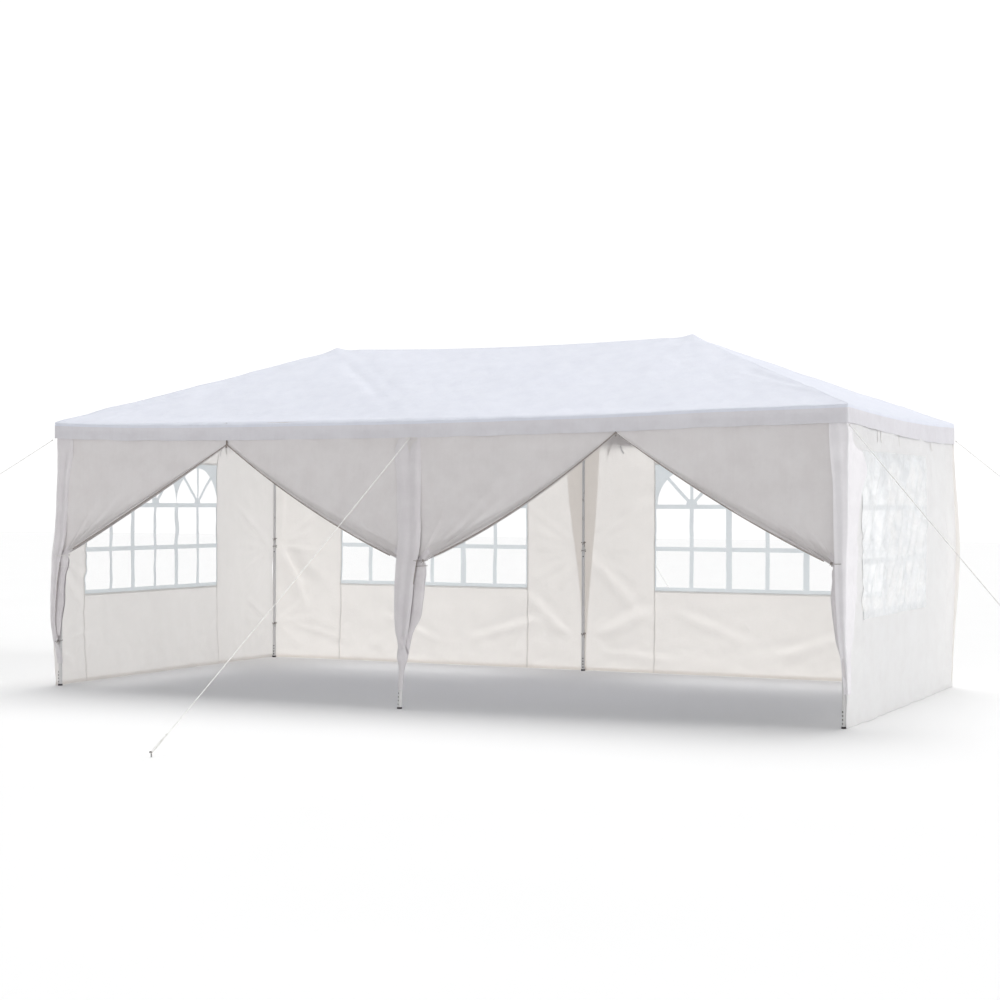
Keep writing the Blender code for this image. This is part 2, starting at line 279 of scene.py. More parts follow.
class Wire:
    """A number or colour in a finish, which Python's own signs add Math nodes to."""

    def __init__(self, finish, socket):
        self.finish = finish
        self.socket = socket

    def maths(self, operation, first, second=0.0):
        return self.finish.add("Math", {"operation": operation}, {0: first, 1: second})

    def __add__(self, other):
        return self.maths("ADD", self, other)

    __radd__ = __add__

    def __sub__(self, other):
        return self.maths("SUBTRACT", self, other)

    def __rsub__(self, other):
        return self.maths("SUBTRACT", other, self)

    def __mul__(self, other):
        return self.maths("MULTIPLY", self, other)

    __rmul__ = __mul__

    def wave(self):
        return self.maths("SINE", self)

    def step(self, low, high):
        """A soft step from 0 at low to 1 at high."""
        return self.finish.add("MapRange", {"interpolation_type": "SMOOTHSTEP"},
                               {0: self, 1: low, 2: high})


class Finish:
    """A material for one of the tent's own finishes."""

    def __init__(self, name):
        self.material = bpy.data.materials.new(name)
        self.material.use_nodes = True
        self.tree = self.material.node_tree
        self.tree.nodes.clear()

    def add(self, kind, settings=(), sockets=(), output=0):
        node = self.tree.nodes.new("ShaderNode" + kind)
        for setting, value in dict(settings).items():
            setattr(node, setting, value)
        for key, value in dict(sockets).items():
            if isinstance(value, Wire):
                self.tree.links.new(value.socket, node.inputs[key])
            else:
                node.inputs[key].default_value = value
        return None if output is None else Wire(self, node.outputs[output])

    def place(self):
        """Where a point is on the tent, as three numbers and as one vector."""
        spot = self.add("TexCoord", output="Object")
        parts = [self.add("SeparateXYZ", {}, {0: spot}, output=k) for k in range(3)]
        return (*parts, spot)

    def measure(self, key):
        return self.add("Attribute", {"attribute_name": key}, output="Fac")

    def noise(self, size, detail=3.0, rough=0.55, stretch=None):
        spot = self.add("TexCoord", output="Object")
        if stretch:
            spot = self.add("VectorMath", {"operation": "MULTIPLY"}, {0: spot, 1: stretch})
        return self.add("TexNoise", {}, {"Vector": spot, "Scale": 1 / size, "Detail": detail,
                                         "Roughness": rough})

    def blend(self, share, first, second):
        """A colour between two colours."""
        return self.add("Mix", {"data_type": "RGBA"}, {0: share, 6: first, 7: second}, output=2)

    def bump(self, height, distance, strength=1.0):
        return self.add("Bump", {}, {"Strength": strength, "Distance": distance, "Height": height})

    def surface(self, **sockets):
        named = {key.replace("_", " "): value for key, value in sockets.items()}
        return self.add("BsdfPrincipled", {}, named)

    def done(self, shader):
        self.add("OutputMaterial", {}, {"Surface": shader}, output=None)
        return self.material


def paint(red, green, blue):
    """A colour as a shader wants it, from its value as seen on a screen."""
    seen = (channel / 255 for channel in (red, green, blue))
    return (*(c / 12.92 if c <= 0.04045 else ((c + 0.055) / 1.055) ** 2.4 for c in seen), 1.0)


WEAVE_PITCH = 0.0026


def cloth_finish(name, colour, shade, glow, passes, crumple=0.5):
    """Coated woven sheet that lets light through: passes is how much of its look that is."""
    own = Finish(name)
    weft, warp = own.measure("weft"), own.measure("warp")
    turns = 2 * math.pi / WEAVE_PITCH
    weave = (weft * turns).wave() * (warp * turns).wave()
    mottle = own.noise(0.14, 4.0, 0.6)
    fine = own.noise(0.03, 3.0, 0.6)
    creases = own.noise(0.16, 5.0, 0.62, (1.0, 1.0, 0.7))
    streaks = own.noise(0.02, 2.0, 0.5, (1.0, 1.0, 0.08))
    share = mottle * 0.7 + fine * 0.15 + streaks * 0.15
    base = own.blend(share.step(0.35, 0.7), colour, shade)
    normal = own.bump(creases * crumple + weave * 0.018 + fine * 0.05, 0.012, 0.6)
    face = own.surface(Base_Color=base, Roughness=fine * 0.12 + 0.5, Normal=normal,
                       Specular_IOR_Level=0.35)
    back = own.add("BsdfTranslucent", {}, {"Color": glow, "Normal": normal})
    return own.done(own.add("MixShader", {}, {0: passes, 1: face, 2: back}))


def film_finish(name, milk, colour, worn, gloss):
    """Clear vinyl, milky where it is wrinkled, with a soft gloss."""
    own = Finish(name)
    haze = own.noise(0.08, 4.0, 0.6)
    streaks = own.noise(0.25, 3.0, 0.6, (1.0, 1.0, 2.0))
    normal = own.bump(haze * 0.3 + streaks * 0.4, 0.008, 0.3)
    face = own.surface(Base_Color=own.blend(haze.step(0.35, 0.65), colour, worn),
                       Roughness=haze * 0.15 + gloss, Normal=normal)
    clear = own.add("BsdfTransparent", {}, {"Color": (1.0, 1.0, 1.0, 1.0)})
    share = (haze * 0.5 + streaks * 0.5).step(0.3, 0.75) * (milk * 0.4) + milk * 0.7
    return own.done(own.add("MixShader", {}, {0: share, 1: clear, 2: face}))


def print_finish():
    """The grey-blue lattice printed on the vinyl, worn thin in places."""
    own = Finish("window_print")
    wear = own.noise(0.02, 4.0, 0.7)
    base = own.blend(wear.step(0.35, 0.7), paint(224, 230, 233), paint(231, 234, 236))
    face = own.surface(Base_Color=base, Roughness=wear * 0.2 + 0.45)
    back = own.add("BsdfTranslucent", {}, {"Color": paint(232, 237, 239)})
    return own.done(own.add("MixShader", {}, {0: 0.6, 1: face, 2: back}))


def tube_finish(name, colour, foot=False):
    """Powder-coated steel tube, rubbed in patches and near-black at the foot."""
    own = Finish(name)
    _, _, height, _ = own.place()
    grain = own.noise(0.004, 3.0, 0.6)
    scuff = own.noise(0.05, 5.0, 0.7, (1.0, 1.0, 0.3))
    rubbed = scuff.step(0.58, 0.7)
    base = own.blend(rubbed, colour, paint(168, 163, 159))
    if foot:
        # Near-black over the lowest 12 mm of the leg, above the ground.
        dark_foot_band = 1 - height.step(0.0115, 0.0135)
        base = own.blend(dark_foot_band, base, paint(58, 53, 58))
    normal = own.bump(grain, 0.0004, 0.5)
    return own.done(own.surface(Base_Color=base, Metallic=rubbed * 0.5 + 0.15,
                                Roughness=scuff * 0.25 + 0.32, Normal=normal))


def plain_finish(name, colour, worn, roughness, metallic=0.0, grain_size=0.003, bump=0.0005):
    """Small fittings, tapes and cords: a colour with grain and wear."""
    own = Finish(name)
    grain = own.noise(grain_size, 3.0, 0.6)
    wear = own.noise(0.03, 4.0, 0.65)
    base = own.blend((wear * 0.7 + grain * 0.3).step(0.4, 0.65), colour, worn)
    return own.done(own.surface(Base_Color=base, Metallic=metallic, Normal=own.bump(grain, bump, 0.6),
                                Roughness=wear * 0.2 + roughness))


# Painted skylight: the roof cloth takes a blue tint for the open sky that lights the white cover.
ROOF_CLOTH_SKY_TINTED = cloth_finish("roof_cloth_white", paint(227, 230, 240), paint(222, 225, 236),
                          paint(236, 237, 242), 0.07, 0.8)
VALANCE_CLOTH = cloth_finish("valance_cloth_white", paint(226, 225, 230), paint(219, 217, 222),
                             paint(232, 229, 230), 0.15, 0.6)
BACK_WALL_CLOTH = cloth_finish("wall_cloth_back", paint(236, 234, 231), paint(229, 227, 224),
                               paint(245, 241, 237), 0.68, 0.9)
# Painted shade: the left end is the same wall cloth made a little darker for its shaded inside.
LEFT_WALL_PAINTED_SHADE = cloth_finish("wall_cloth_left", paint(233, 231, 230), paint(226, 224, 223),
                               paint(243, 240, 237), 0.68, 0.9)
# Painted sunlight: the right end is the same wall cloth made whiter, and letting less light through, for its
# sunlit outside.
RIGHT_WALL_PAINTED_SUNLIGHT = cloth_finish("wall_cloth_right", paint(243, 243, 243), paint(237, 236, 236),
                                paint(243, 242, 241), 0.34, 0.7)
CURTAIN_CLOTH = cloth_finish("curtain_cloth_white", paint(229, 226, 226), paint(222, 218, 218),
                             paint(234, 229, 227), 0.26, 0.6)
BUNDLE_CLOTH = cloth_finish("curtain_bundle_white", paint(226, 222, 224), paint(212, 207, 210),
                            paint(234, 229, 227), 0.05, 1.6)
MARGIN_CLOTH = cloth_finish("curtain_margin_white", paint(226, 223, 225), paint(219, 215, 218),
                            paint(232, 228, 228), 0.10, 0.7)
# Painted sunlight: the corner margin is the margin cloth made whiter for the sunlit right end it wraps on to.
CORNER_MARGIN_PAINTED_SUNLIGHT = cloth_finish("corner_margin_white", paint(241, 239, 242), paint(234, 232, 235),
                            paint(240, 238, 238), 0.12, 0.7)
CLEAR_FILM = film_finish("window_film_clear", 0.06, paint(246, 248, 250), paint(240, 243, 246), 0.12)
MILKY_FILM = film_finish("window_film_milky", 0.93, paint(236, 237, 238), paint(224, 226, 228), 0.38)
LATTICE_PRINT = print_finish()
LEG_PAINT = tube_finish("leg_tube_paint", paint(212, 211, 211), foot=True)
FRAME_PAINT = tube_finish("frame_tube_paint", paint(206, 204, 202))
JOINT_PAINT = plain_finish("joint_steel", paint(150, 147, 144), paint(120, 117, 114), 0.35, 0.5)
WEBBING = plain_finish("white_webbing", paint(232, 230, 228), paint(216, 213, 210), 0.65, 0.0,
                       0.0015, 0.0008)
SEAM_CLOTH = cloth_finish("seam_cloth_white", paint(230, 228, 226), paint(222, 220, 218),
                          paint(240, 238, 236), 0.62, 0.6)
ZIP_TAPE = plain_finish("zip_tape", paint(158, 148, 142), paint(132, 123, 117), 0.55, 0.0,
                        0.002, 0.001)
# Partly painted shade: the tie cords are mid grey, part their own tone and part the shade that white cord
# sits in beside the legs.
TIE_CORD_PARTLY_SHADE = plain_finish("tie_cord_grey", paint(152, 145, 140), paint(122, 116, 112), 0.7, 0.0,
                        0.001, 0.0005)
# Dark steel of the spring buttons, also used as painted shade inside the leg holes.
BUTTON_STEEL_AND_HOLE_SHADE = plain_finish("dark_fittings", paint(84, 80, 78), paint(60, 57, 56), 0.4, 0.6)
CORD = plain_finish("guy_cord_white", paint(232, 231, 229), paint(212, 210, 207), 0.7, 0.0,
                    0.001, 0.0004)
STEEL = plain_finish("peg_steel", paint(168, 168, 168), paint(120, 118, 114), 0.35, 0.9)


# Roof cover

def cover_side(count, start, end):
    """Places along one eave, with closer ones near its two corners."""
    length = abs(end - start)
    near = np.array([0.004, 0.009, 0.016])
    even = np.linspace(0.025, length - 0.025, count)
    return start + np.sign(end - start) * np.concatenate([[0], near, even, length - near[::-1]])


def cover_columns():
    """For every column of the cover: side, eave place, ridge place and the way out."""
    columns = []
    for x in cover_side(220, -COVER_X, COVER_X):
        columns.append(((x, -COVER_Y), (x * CROWN_X / COVER_X, 0), (0, -1), 0))
    for y in cover_side(110, -COVER_Y, COVER_Y):
        columns.append(((COVER_X, y), (CROWN_X, 0), (1, 0), 1))
    for x in cover_side(220, COVER_X, -COVER_X):
        columns.append(((x, COVER_Y), (x * CROWN_X / COVER_X, 0), (0, 1), 2))
    for y in cover_side(110, COVER_Y, -COVER_Y):
        columns.append(((-COVER_X, y), (-CROWN_X, 0), (-1, 0), 3))
    eave, ridge, out, side = zip(*columns)
    return np.array(eave), np.array(ridge), np.array(out, float), np.array(side)


def eave_height(eave, side):
    heights = np.zeros(len(side))
    for k, (profile, axis) in enumerate(((FRONT_EAVE, 0), (RIGHT_EAVE, 1),
                                         (BACK_EAVE, 0), (LEFT_EAVE, 1))):
        on = side == k
        heights[on] = through(profile, eave[on, axis])
    return heights


def roof_shape(x, y, t, side):
    """How far the cloth of the slopes stands above its flat planes."""
    ax, ay = np.abs(x), np.abs(y)
    long_side = side % 2 == 0
    # Between the hip and the middle rafter, and between the two middle rafters
    rafter = CROWN_X * (1 - t)
    hip = CROWN_X + (COVER_X - CROWN_X) * t
    outer = np.clip((ax - rafter) / np.maximum(hip - rafter, 1e-6), 0, 1)
    inner = np.clip(1 - ax / np.maximum(rafter, 1e-6), 0, 1)
    sag = np.where(ax > rafter, 0.030 * t * 4 * outer * (1 - outer),
                   0.022 * (1 - t) * (1 - (1 - inner) ** 2))
    end_share = np.clip(ay / np.maximum(COVER_Y * t, 1e-6), 0, 1)
    sag = np.where(long_side, sag, 0.026 * t * (1 - end_share ** 2))
    lift = -sag * eased(1.0, 0.86, t)
    hip_share = np.where(long_side, outer * (ax > rafter), end_share)
    lift -= 0.010 * 4 * t * (1 - t) * eased(0.6, 1.0, hip_share)
    lift -= 0.010 * (1 - np.minimum(ax / CROWN_X, 1) ** 2) * hump(t, 0, 0.35) * long_side
    for sign in (-1, 1):
        reach = np.hypot(x - sign * CROWN_X, y)
        turn = np.arctan2(y, x - sign * CROWN_X)
        lift += 0.011 * hump(reach, 0, 0.045) - 0.005 * hump(reach, 0.13, 0.06)
        star = np.sin(7 * turn + 1.0) + 0.7 * np.sin(12 * turn + 2.1 * sign)
        lift += 0.0028 * star * eased(0.03, 0.16, reach) * np.exp(-reach / 0.42)
        # Folds that run on along the rafters into the corners
        for end in (-1, 1):
            start = (sign * 2.05, end * 0.72)
            for shift, tall in ((0.07, 0.006), (0.15, 0.005), (-0.08, 0.005), (-0.17, 0.003)):
                lift += fold(x, y, (start[0], start[1] - end * shift),
                             (sign * 2.96, end * (1.46 - abs(shift) * 0.6)), 0.022, tall)
    for sign in (-1, 1):
        # The cloth dips along each middle rafter, with short slanting folds above the eave
        for end in (-1, 1):
            lift -= 0.6 * fold(x, y, (sign * 1.42, end * 0.08), (sign * 0.10, end * 1.42), 0.055,
                               0.024 if sign < 0 else 0.012, -0.5)
        for k in range(15):
            foot = sign * (0.35 + 0.17 * k) + 0.05 * math.sin(2.7 * k)
            for end in (-1, 1):
                lift += fold(x, y, (foot, end * 1.47), (foot + 0.20 + 0.05 * math.sin(k), end
                             * (1.16 - 0.05 * math.cos(1.9 * k))), 0.018, 0.0045)
    lift += 0.0035 * ripples(x, y * 1.3, 11, 9, 1.1, 0.3) * eased(0, 0.2, t) * eased(1.02, 0.8, t)
    lift += 0.0018 * ripples(x, y, 12, 14, 0.3, 0.09) * eased(0, 0.1, t)
    return lift


def make_cover():
    eave, ridge, out, side = cover_columns()
    shares = np.concatenate([np.linspace(0, 0.06, 6), np.linspace(0.08, 0.96, 54),
                             [0.972, 0.980, 0.986, 0.991, 0.996, 1.0]])
    heights = eave_height(eave, side)
    t = shares[:, None]
    x = ridge[:, 0] + (eave[:, 0] - ridge[:, 0]) * t
    y = ridge[:, 1] + (eave[:, 1] - ridge[:, 1]) * t
    z = RIDGE_Z - 0.002 + (heights - RIDGE_Z + 0.002) * t + roof_shape(x, y, t, side)
    # The cloth rolls over the rails
    for place, rail in ((y, LEG_Y), (x, LEG_X)):
        off = np.clip(np.abs(np.abs(place) - rail) / (RAIL_RADIUS + 0.004), 0, 1)
        over = RAIL_Z + (RAIL_RADIUS + 0.004) * np.sqrt(1 - off ** 2)
        z = np.where(off < 1, np.maximum(z, over), z)
    slopes = np.stack([x, y, z], -1)

    steps = np.diff(np.concatenate([eave, eave[:1]]), axis=0)
    run = np.concatenate([[0], np.cumsum(np.linalg.norm(steps, axis=1))[:-1]])
    drops = np.array([0.004, 0.008, 0.013, 0.019, 0.028, 0.040, 0.055, 0.070, 0.085, 0.098,
                      0.104, 0.109, 0.113])[:, None]
    down = drops / VALANCE_DROP
    swing = 0.002 * down + 0.006 * ripples(run[None], 0 * down, 21, 7, 1.2, 0.22, (0, 0.001)) * down ** 1.3
    swing += 0.0035 * ripples(run[None], down * 0.2, 22, 6, 0.5, 0.12) * eased(0.1, 0.6, down)
    swing += 0.003 * hump(down, 0.2, 0.12) - 0.003 * hump(down, 0.5, 0.2)
    # The hem hangs lower towards the back right corner
    low = np.where(side == 1, eased(-1.4, 1.5, eave[:, 1]), (side == 2) * eased(1.4, 3.0, eave[:, 0]))
    depth = drops * (1 + 0.33 * low
                     + 0.035 * ripples(run[None], 0 * down, 23, 6, 1.0, 0.15, (0, 0.001)))
    corner = np.minimum(np.abs(np.abs(eave[:, 0]) - COVER_X) + np.abs(np.abs(eave[:, 1]) - COVER_Y),
                        1.0)
    swing = np.maximum(swing, -0.003) * eased(0.0, 0.12, corner)
    fall = np.stack([eave[:, 0] + out[:, 0] * swing, eave[:, 1] + out[:, 1] * swing,
                     heights - depth], -1)
    hem = []
    for rise, inward in ((-0.0012, 0.0012), (0.0, 0.0028), (0.010, 0.0034), (0.022, 0.003)):
        row = fall[-1].copy()
        row[:, 2] += rise
        row[:, :2] -= out * inward
        hem.append(row)
    points = np.concatenate([slopes, fall, np.array(hem)])
    # Round the bend over the eave rail
    turn = len(shares) - 1
    for _ in range(5):
        bend = slice(turn - 5, turn + 6)
        near = points[turn - 6:turn + 5] + points[turn - 4:turn + 7]
        points[bend] = points[bend] * 0.5 + near * 0.25
    # Round the four corners over the joints
    for k in np.flatnonzero(corner < 0.020):
        tuck = 0.004 * (1 - corner[k] / 0.020) ** 2
        for axis in (0, 1):
            points[turn - 3:, k, axis] -= np.sign(eave[k, axis]) * tuck
    weft = np.broadcast_to(run, points.shape[:2])
    turned = SIDE_SLOPE_CLOTH + 0.120 + np.array([0.001, 0.003, 0.013, 0.025])
    warp = np.concatenate([shares * SIDE_SLOPE_CLOTH, SIDE_SLOPE_CLOTH + drops[:, 0], turned])
    warp = np.broadcast_to(warp[:, None], points.shape[:2])
    cover = cloth("roof_cover_cloth", points, (weft, warp), ROOF_CLOTH_SKY_TINTED,
                  ["roof_cover"], loop=True, sharp=38)
    cover.data.materials.append(VALANCE_CLOTH)
    row = np.arange(len(cover.data.polygons)) // len(eave)
    cover.data.polygons.foreach_set("material_index", (row >= turn + 4).astype(np.int32))
    flat_area = 2 * (COVER_X + CROWN_X) * SIDE_SLOPE_CLOTH + 2 * COVER_Y * END_SLOPE_CLOTH
    flat_area += 4 * (COVER_X + COVER_Y) * VALANCE_CLOTH_DEPTH


# Walls and windows

class Panel:
    """One window wall: where it hangs, and how its cloth stands in or out."""

    def __init__(self, name, start, end, left, width, finish, put, swell, shift=None):
        self.name = name
        self.start = start
        self.end = end
        self.left = left
        self.width = width
        self.right = left + width
        self.finish = finish
        self.put = put
        self.swell = swell
        self.shift = shift or (lambda u, z: 0 * u * z)

    def at(self, u, z, proud=0.0):
        u, z = np.broadcast_arrays(np.asarray(u, float), np.asarray(z, float))
        return self.put(u + self.shift(u, z), z, self.swell(u, z) + proud)


def back_put(u, z, off):
    return np.stack([u, WALL_Y + off, z], -1)


def right_put(u, z, off):
    return np.stack([WALL_X + off, u, z], -1)


def left_put(u, z, off):
    return np.stack([-WALL_X - off, u, z], -1)


def tie_folds(u, z, leg, way, tall=1.0):
    """Folds that spread from the ties on a leg across the wall beside it."""
    total = 0 * u * z
    for knot, lines in ((0.985, ((0.62, 0.42, 0.010), (0.5, 0.18, 0.008), (0.62, 0.02, 0.006),
                                 (0.36, -0.44, 0.016), (0.55, -0.30, 0.010), (0.4, -0.08, 0.007))),
                        (0.300, ((0.45, 0.30, 0.010), (0.5, 0.08, 0.009), (0.3, -0.22, 0.008)))):
        for reach, rise, height in lines:
            total = total + fold(u, z, (leg, knot), (leg + way * reach, knot + rise),
                                 0.018 + 0.9 * height, 2.0 * height * tall)
    return total


def foot_creases(u, z, seed):
    """Creases where the foot of a wall bunches on the ground."""
    low = eased(0.55, 0.08, z)
    return low * (0.0045 * ripples(u, z, seed, 12, 0.5, 0.10, (0.9, 2.2))
                  + 0.0030 * ripples(u, z, seed + 1, 12, 0.22, 0.07))


def back_swell(seed, legs, strong, big=()):
    def swell(u, z):
        free = eased(0, 0.5, np.abs(u - legs[0])) * eased(0, 0.5, np.abs(u - legs[1]))
        tall = eased(0.0, 0.4, WALL_TOP - z) * (0.35 + 0.65 * eased(0.0, 0.5, z))
        off = 0.022 * free * tall * (1 + 0.4 * np.sin(u * 2.3 + seed))
        off = off + 0.009 * ripples(u, z * 0.5, seed, 8, 1.2, 0.3, (-0.6, 0.6)) * free
        off = off + 0.0045 * ripples(u, z, seed + 1, 16, 0.45, 0.12) * (0.5 + 0.5 * free)
        off = off + foot_creases(u, z, seed + 2)
        off = off + tie_folds(u, z, legs[0], 1, strong[0]) + tie_folds(u, z, legs[1], -1, strong[1])
        for start, end, width, height in big:
            off = off + fold(u, z, start, end, width, height)
        off = off * eased(0.0, 0.10, WALL_TOP - z)
        # Scallops under the ribbons that hold the top to the rail
        off = off + 0.003 * np.cos(u * 2 * math.pi / 0.5) * eased(0.35, 0.0, WALL_TOP - z)
        return np.maximum(off, -0.004)
    return swell


def end_swell(seed, strength):
    def swell(u, z):
        free = eased(0, 0.35, LEG_Y + 0.02 - np.abs(u))
        tall = eased(0.0, 0.4, WALL_TOP - z)
        off = 0.020 * free * tall * (0.4 + 0.6 * eased(0.0, 0.4, z))
        off = off + 0.008 * ripples(u, z * 0.5, seed, 8, 1.0, 0.25, (-0.7, 0.7)) * free
        off = off + 0.0045 * ripples(u, z, seed + 1, 16, 0.4, 0.1) * (0.5 + 0.5 * free)
        off = off + foot_creases(u, z, seed + 2)
        off = off + tie_folds(u, z, -LEG_Y, 1, strength) + tie_folds(u, z, LEG_Y, -1, strength)
        off = off * eased(0.0, 0.10, WALL_TOP - z)
        off = off + 0.003 * np.cos(u * 2 * math.pi / 0.45) * eased(0.3, 0.0, WALL_TOP - z)
        return np.maximum(off, -0.004)
    return swell


def left_end_swell(u, z):
    """The left end also blows out beside the front corner leg."""
    off = end_swell(41, 0.6)(u, z)
    return off + 0.040 * eased(0.55, 0.02, u + WALL_Y) * hump(z, 0.55, 0.42)


def left_end_shift(u, z):
    """The back edge stands clear of the corner leg between its two ties."""
    return -0.024 * eased(0.25, 0.02, WALL_Y - u) * hump(z, 0.80, 0.14)


def right_end_swell(u, z):
    off = end_swell(51, 0.35)(u, z)
    off = off - 0.024 * hump(u, 1.26, 0.07) * eased(0.1, 0.5, z) * eased(1.92, 1.75, z)
    return off + 0.030 * eased(0.45, 0.02, WALL_Y - u) * hump(z, 1.0, 0.5)


def back_left_shift(u, z):
    """The right edge laps past the middle leg, widest at the top."""
    return eased(0.16, 0.0, -u) * (0.015 + 0.115 * eased(0.0, 1.9, z))


def back_right_shift(u, z):
    """The left edge laps behind the other wall; the right edge wraps round the corner."""
    lap = -eased(0.16, 0.0, u) * (0.02 + 0.145 * eased(0.3, 1.8, z))
    return lap + eased(0.14, 0.0, LEG_X - u) * 0.058 * hump(z, 1.0, 0.60)


# Start, end, width and height of the large folds of the two back walls
BACK_LEFT_FOLDS = (((-2.93, 0.99), (-2.66, 0.42), 0.045, 0.030),
                   ((-2.90, 0.97), (-2.45, 0.55), 0.050, -0.014),
                   ((-2.93, 0.98), (-2.36, 0.93), 0.018, 0.009), ((-2.90, 1.70), (-2.92, 1.00), 0.030, 0.016),
                   ((-2.80, 0.30), (-2.20, 0.16), 0.022, 0.012), ((-1.95, 0.42), (-1.25, 0.16), 0.030, 0.014),
                   ((-1.1, 0.20), (-0.3, 0.44), 0.034, 0.014), ((-0.55, 0.62), (-0.06, 0.20), 0.040, 0.018))
BACK_RIGHT_FOLDS = (((0.06, 0.95), (0.52, 0.40), 0.045, 0.014), ((0.08, 0.28), (0.62, 0.52), 0.050, 0.022),
                    ((0.10, 0.16), (0.90, 0.10), 0.024, 0.010), ((0.75, 0.50), (1.50, 0.22), 0.040, 0.013),
                    ((1.50, 0.12), (2.40, 0.40), 0.040, 0.013), ((2.35, 0.62), (2.92, 0.30), 0.040, 0.015),
                    ((2.45, 1.30), (2.92, 0.98), 0.040, 0.012))


def back_right_swell(u, z):
    off = back_swell(33, (0.0, LEG_X), (0.20, 0.3), BACK_RIGHT_FOLDS)(u, z)
    return off + 0.004 * eased(0.22, 0.12, u)


BACK_LEFT = Panel("back_left", -WALL_X, 0.0, -2.322, 1.804, BACK_WALL_CLOTH, back_put,
                  back_swell(31, (-LEG_X, 0.0), (0.22, 0.22), BACK_LEFT_FOLDS), back_left_shift)
BACK_RIGHT = Panel("back_right", 0.0, WALL_X, 0.608, 1.890, BACK_WALL_CLOTH, back_put,
                   back_right_swell, back_right_shift)
END_LEFT = Panel("end_left", -WALL_Y + 0.004, WALL_Y - 0.004, -1.120, 1.755, LEFT_WALL_PAINTED_SHADE,
                 left_put, left_end_swell, left_end_shift)
END_RIGHT = Panel("end_right", -WALL_Y + 0.004, WALL_Y - 0.004, -1.210, 1.740, RIGHT_WALL_PAINTED_SUNLIGHT,
                  right_put, right_end_swell)


def lines_through(start, end, step, stops):
    """Places from start to end about a step apart that fall on each stop."""
    marks = [start, *sorted(stops), end]
    parts = [np.linspace(a, b, max(2, round((b - a) / step) + 1))[:-1]
             for a, b in zip(marks, marks[1:])]
    return np.concatenate([*parts, [end]])


def make_wall(panel):
    u = lines_through(panel.start, panel.end, 0.022, (panel.left, panel.right))
    z = lines_through(WALL_FOOT, WALL_TOP, 0.022, (WINDOW_FOOT, WINDOW_TOP))
    points = panel.at(u[None], z[:, None])
    # Folded hem along the foot
    hem = np.array([0.026, 0.012, 0.001])
    points = np.concatenate([panel.at(u[None], hem[:, None] + WALL_FOOT, 0.0024), points])
    z = np.concatenate([WALL_FOOT - hem, z])
    middle_u, middle_z = (u[1:] + u[:-1]) / 2, (z[1:] + z[:-1]) / 2
    cut = ((middle_u > panel.left) & (middle_u < panel.right))[None] & (
        (middle_z > WINDOW_FOOT) & (middle_z < WINDOW_TOP))[:, None]
    return cloth("wall_cloth_" + panel.name, points, np.meshgrid(u, z), panel.finish,
                 ["wall_" + panel.name], cut)


def film_wrinkles(panel, u, z):
    """Wrinkles of the vinyl inside its seams."""
    loose = eased(0, 0.08, np.minimum(u - panel.left, panel.right - u))
    loose = loose * eased(0, 0.08, np.minimum(z - WINDOW_FOOT, WINDOW_TOP - z))
    off = 0.004 * ripples(u, z, len(panel.name), 9, 0.6, 0.15)
    if panel is END_RIGHT:
        for k in range(11):
            low = (-1.50 + 0.19 * k, 0.60 + 0.05 * (k % 3))
            high = (low[0] + 0.80 - 0.07 * (k % 4), 1.68 - 0.15 * (k % 2))
            off = off + fold(u, z, low, high, 0.022 + 0.007 * (k % 3), 0.024 - 0.005 * (k % 2), 0.6)
        off = off + 0.0025 * ripples(u, z, 77, 9, 0.25, 0.07, (2.2, 2.8))
    return off * loose


def make_window(panel, finish):
    lap = WINDOW_LAP
    u = np.linspace(panel.left - lap, panel.right + lap, round(panel.width / 0.018))
    z = np.linspace(WINDOW_FOOT - lap, WINDOW_TOP + lap, 58)
    uu, zz = np.meshgrid(u, z)
    proud, sunk = (0.004, -0.006) if panel is END_RIGHT else (0.0016, -0.0012)
    film_points = panel.at(uu, zz, proud + film_wrinkles(panel, uu, zz))
    film = cloth("window_film_" + panel.name, film_points, (uu, zz), finish,
                 ["window_" + panel.name])
    # The print lies on the inner face of the film
    grids = []
    for a, h in lattice(panel.width):
        mu, mz = panel.left + a, WINDOW_FOOT + h
        grids.append(panel.at(mu, mz, sunk + film_wrinkles(panel, mu, mz)))
    lattice_print = joined_grids("window_lattice_" + panel.name, grids, LATTICE_PRINT)
    tape = joined_grids("window_tape_" + panel.name, window_tape(panel), SEAM_CLOTH)


def window_tape(panel):
    """Seams beside the opening, the whole height of the wall, and two across it."""
    strips = []
    foot, top = WALL_FOOT + 0.004, WALL_TOP - 0.004
    for fixed, low, high, wide, upright in ((panel.left, foot, top, 0.013, True),
                                            (panel.right, foot, top, 0.013, True),
                                            (WINDOW_FOOT, panel.left, panel.right, 0.018, False),
                                            (WINDOW_TOP, panel.left, panel.right, 0.018, False)):
        along = np.linspace(low, high, round((high - low) / 0.022))
        across = np.linspace(-wide / 2, wide / 2, 5)
        proud = np.array([-0.0008, -0.0026, -0.0030, -0.0026, -0.0008])
        a, b = np.meshgrid(along, across)
        off = np.broadcast_to(proud[:, None], a.shape)
        u, z = (fixed + b, a) if upright else (a, fixed + b)
        strips.append(panel.at(u, z, off))
    return strips


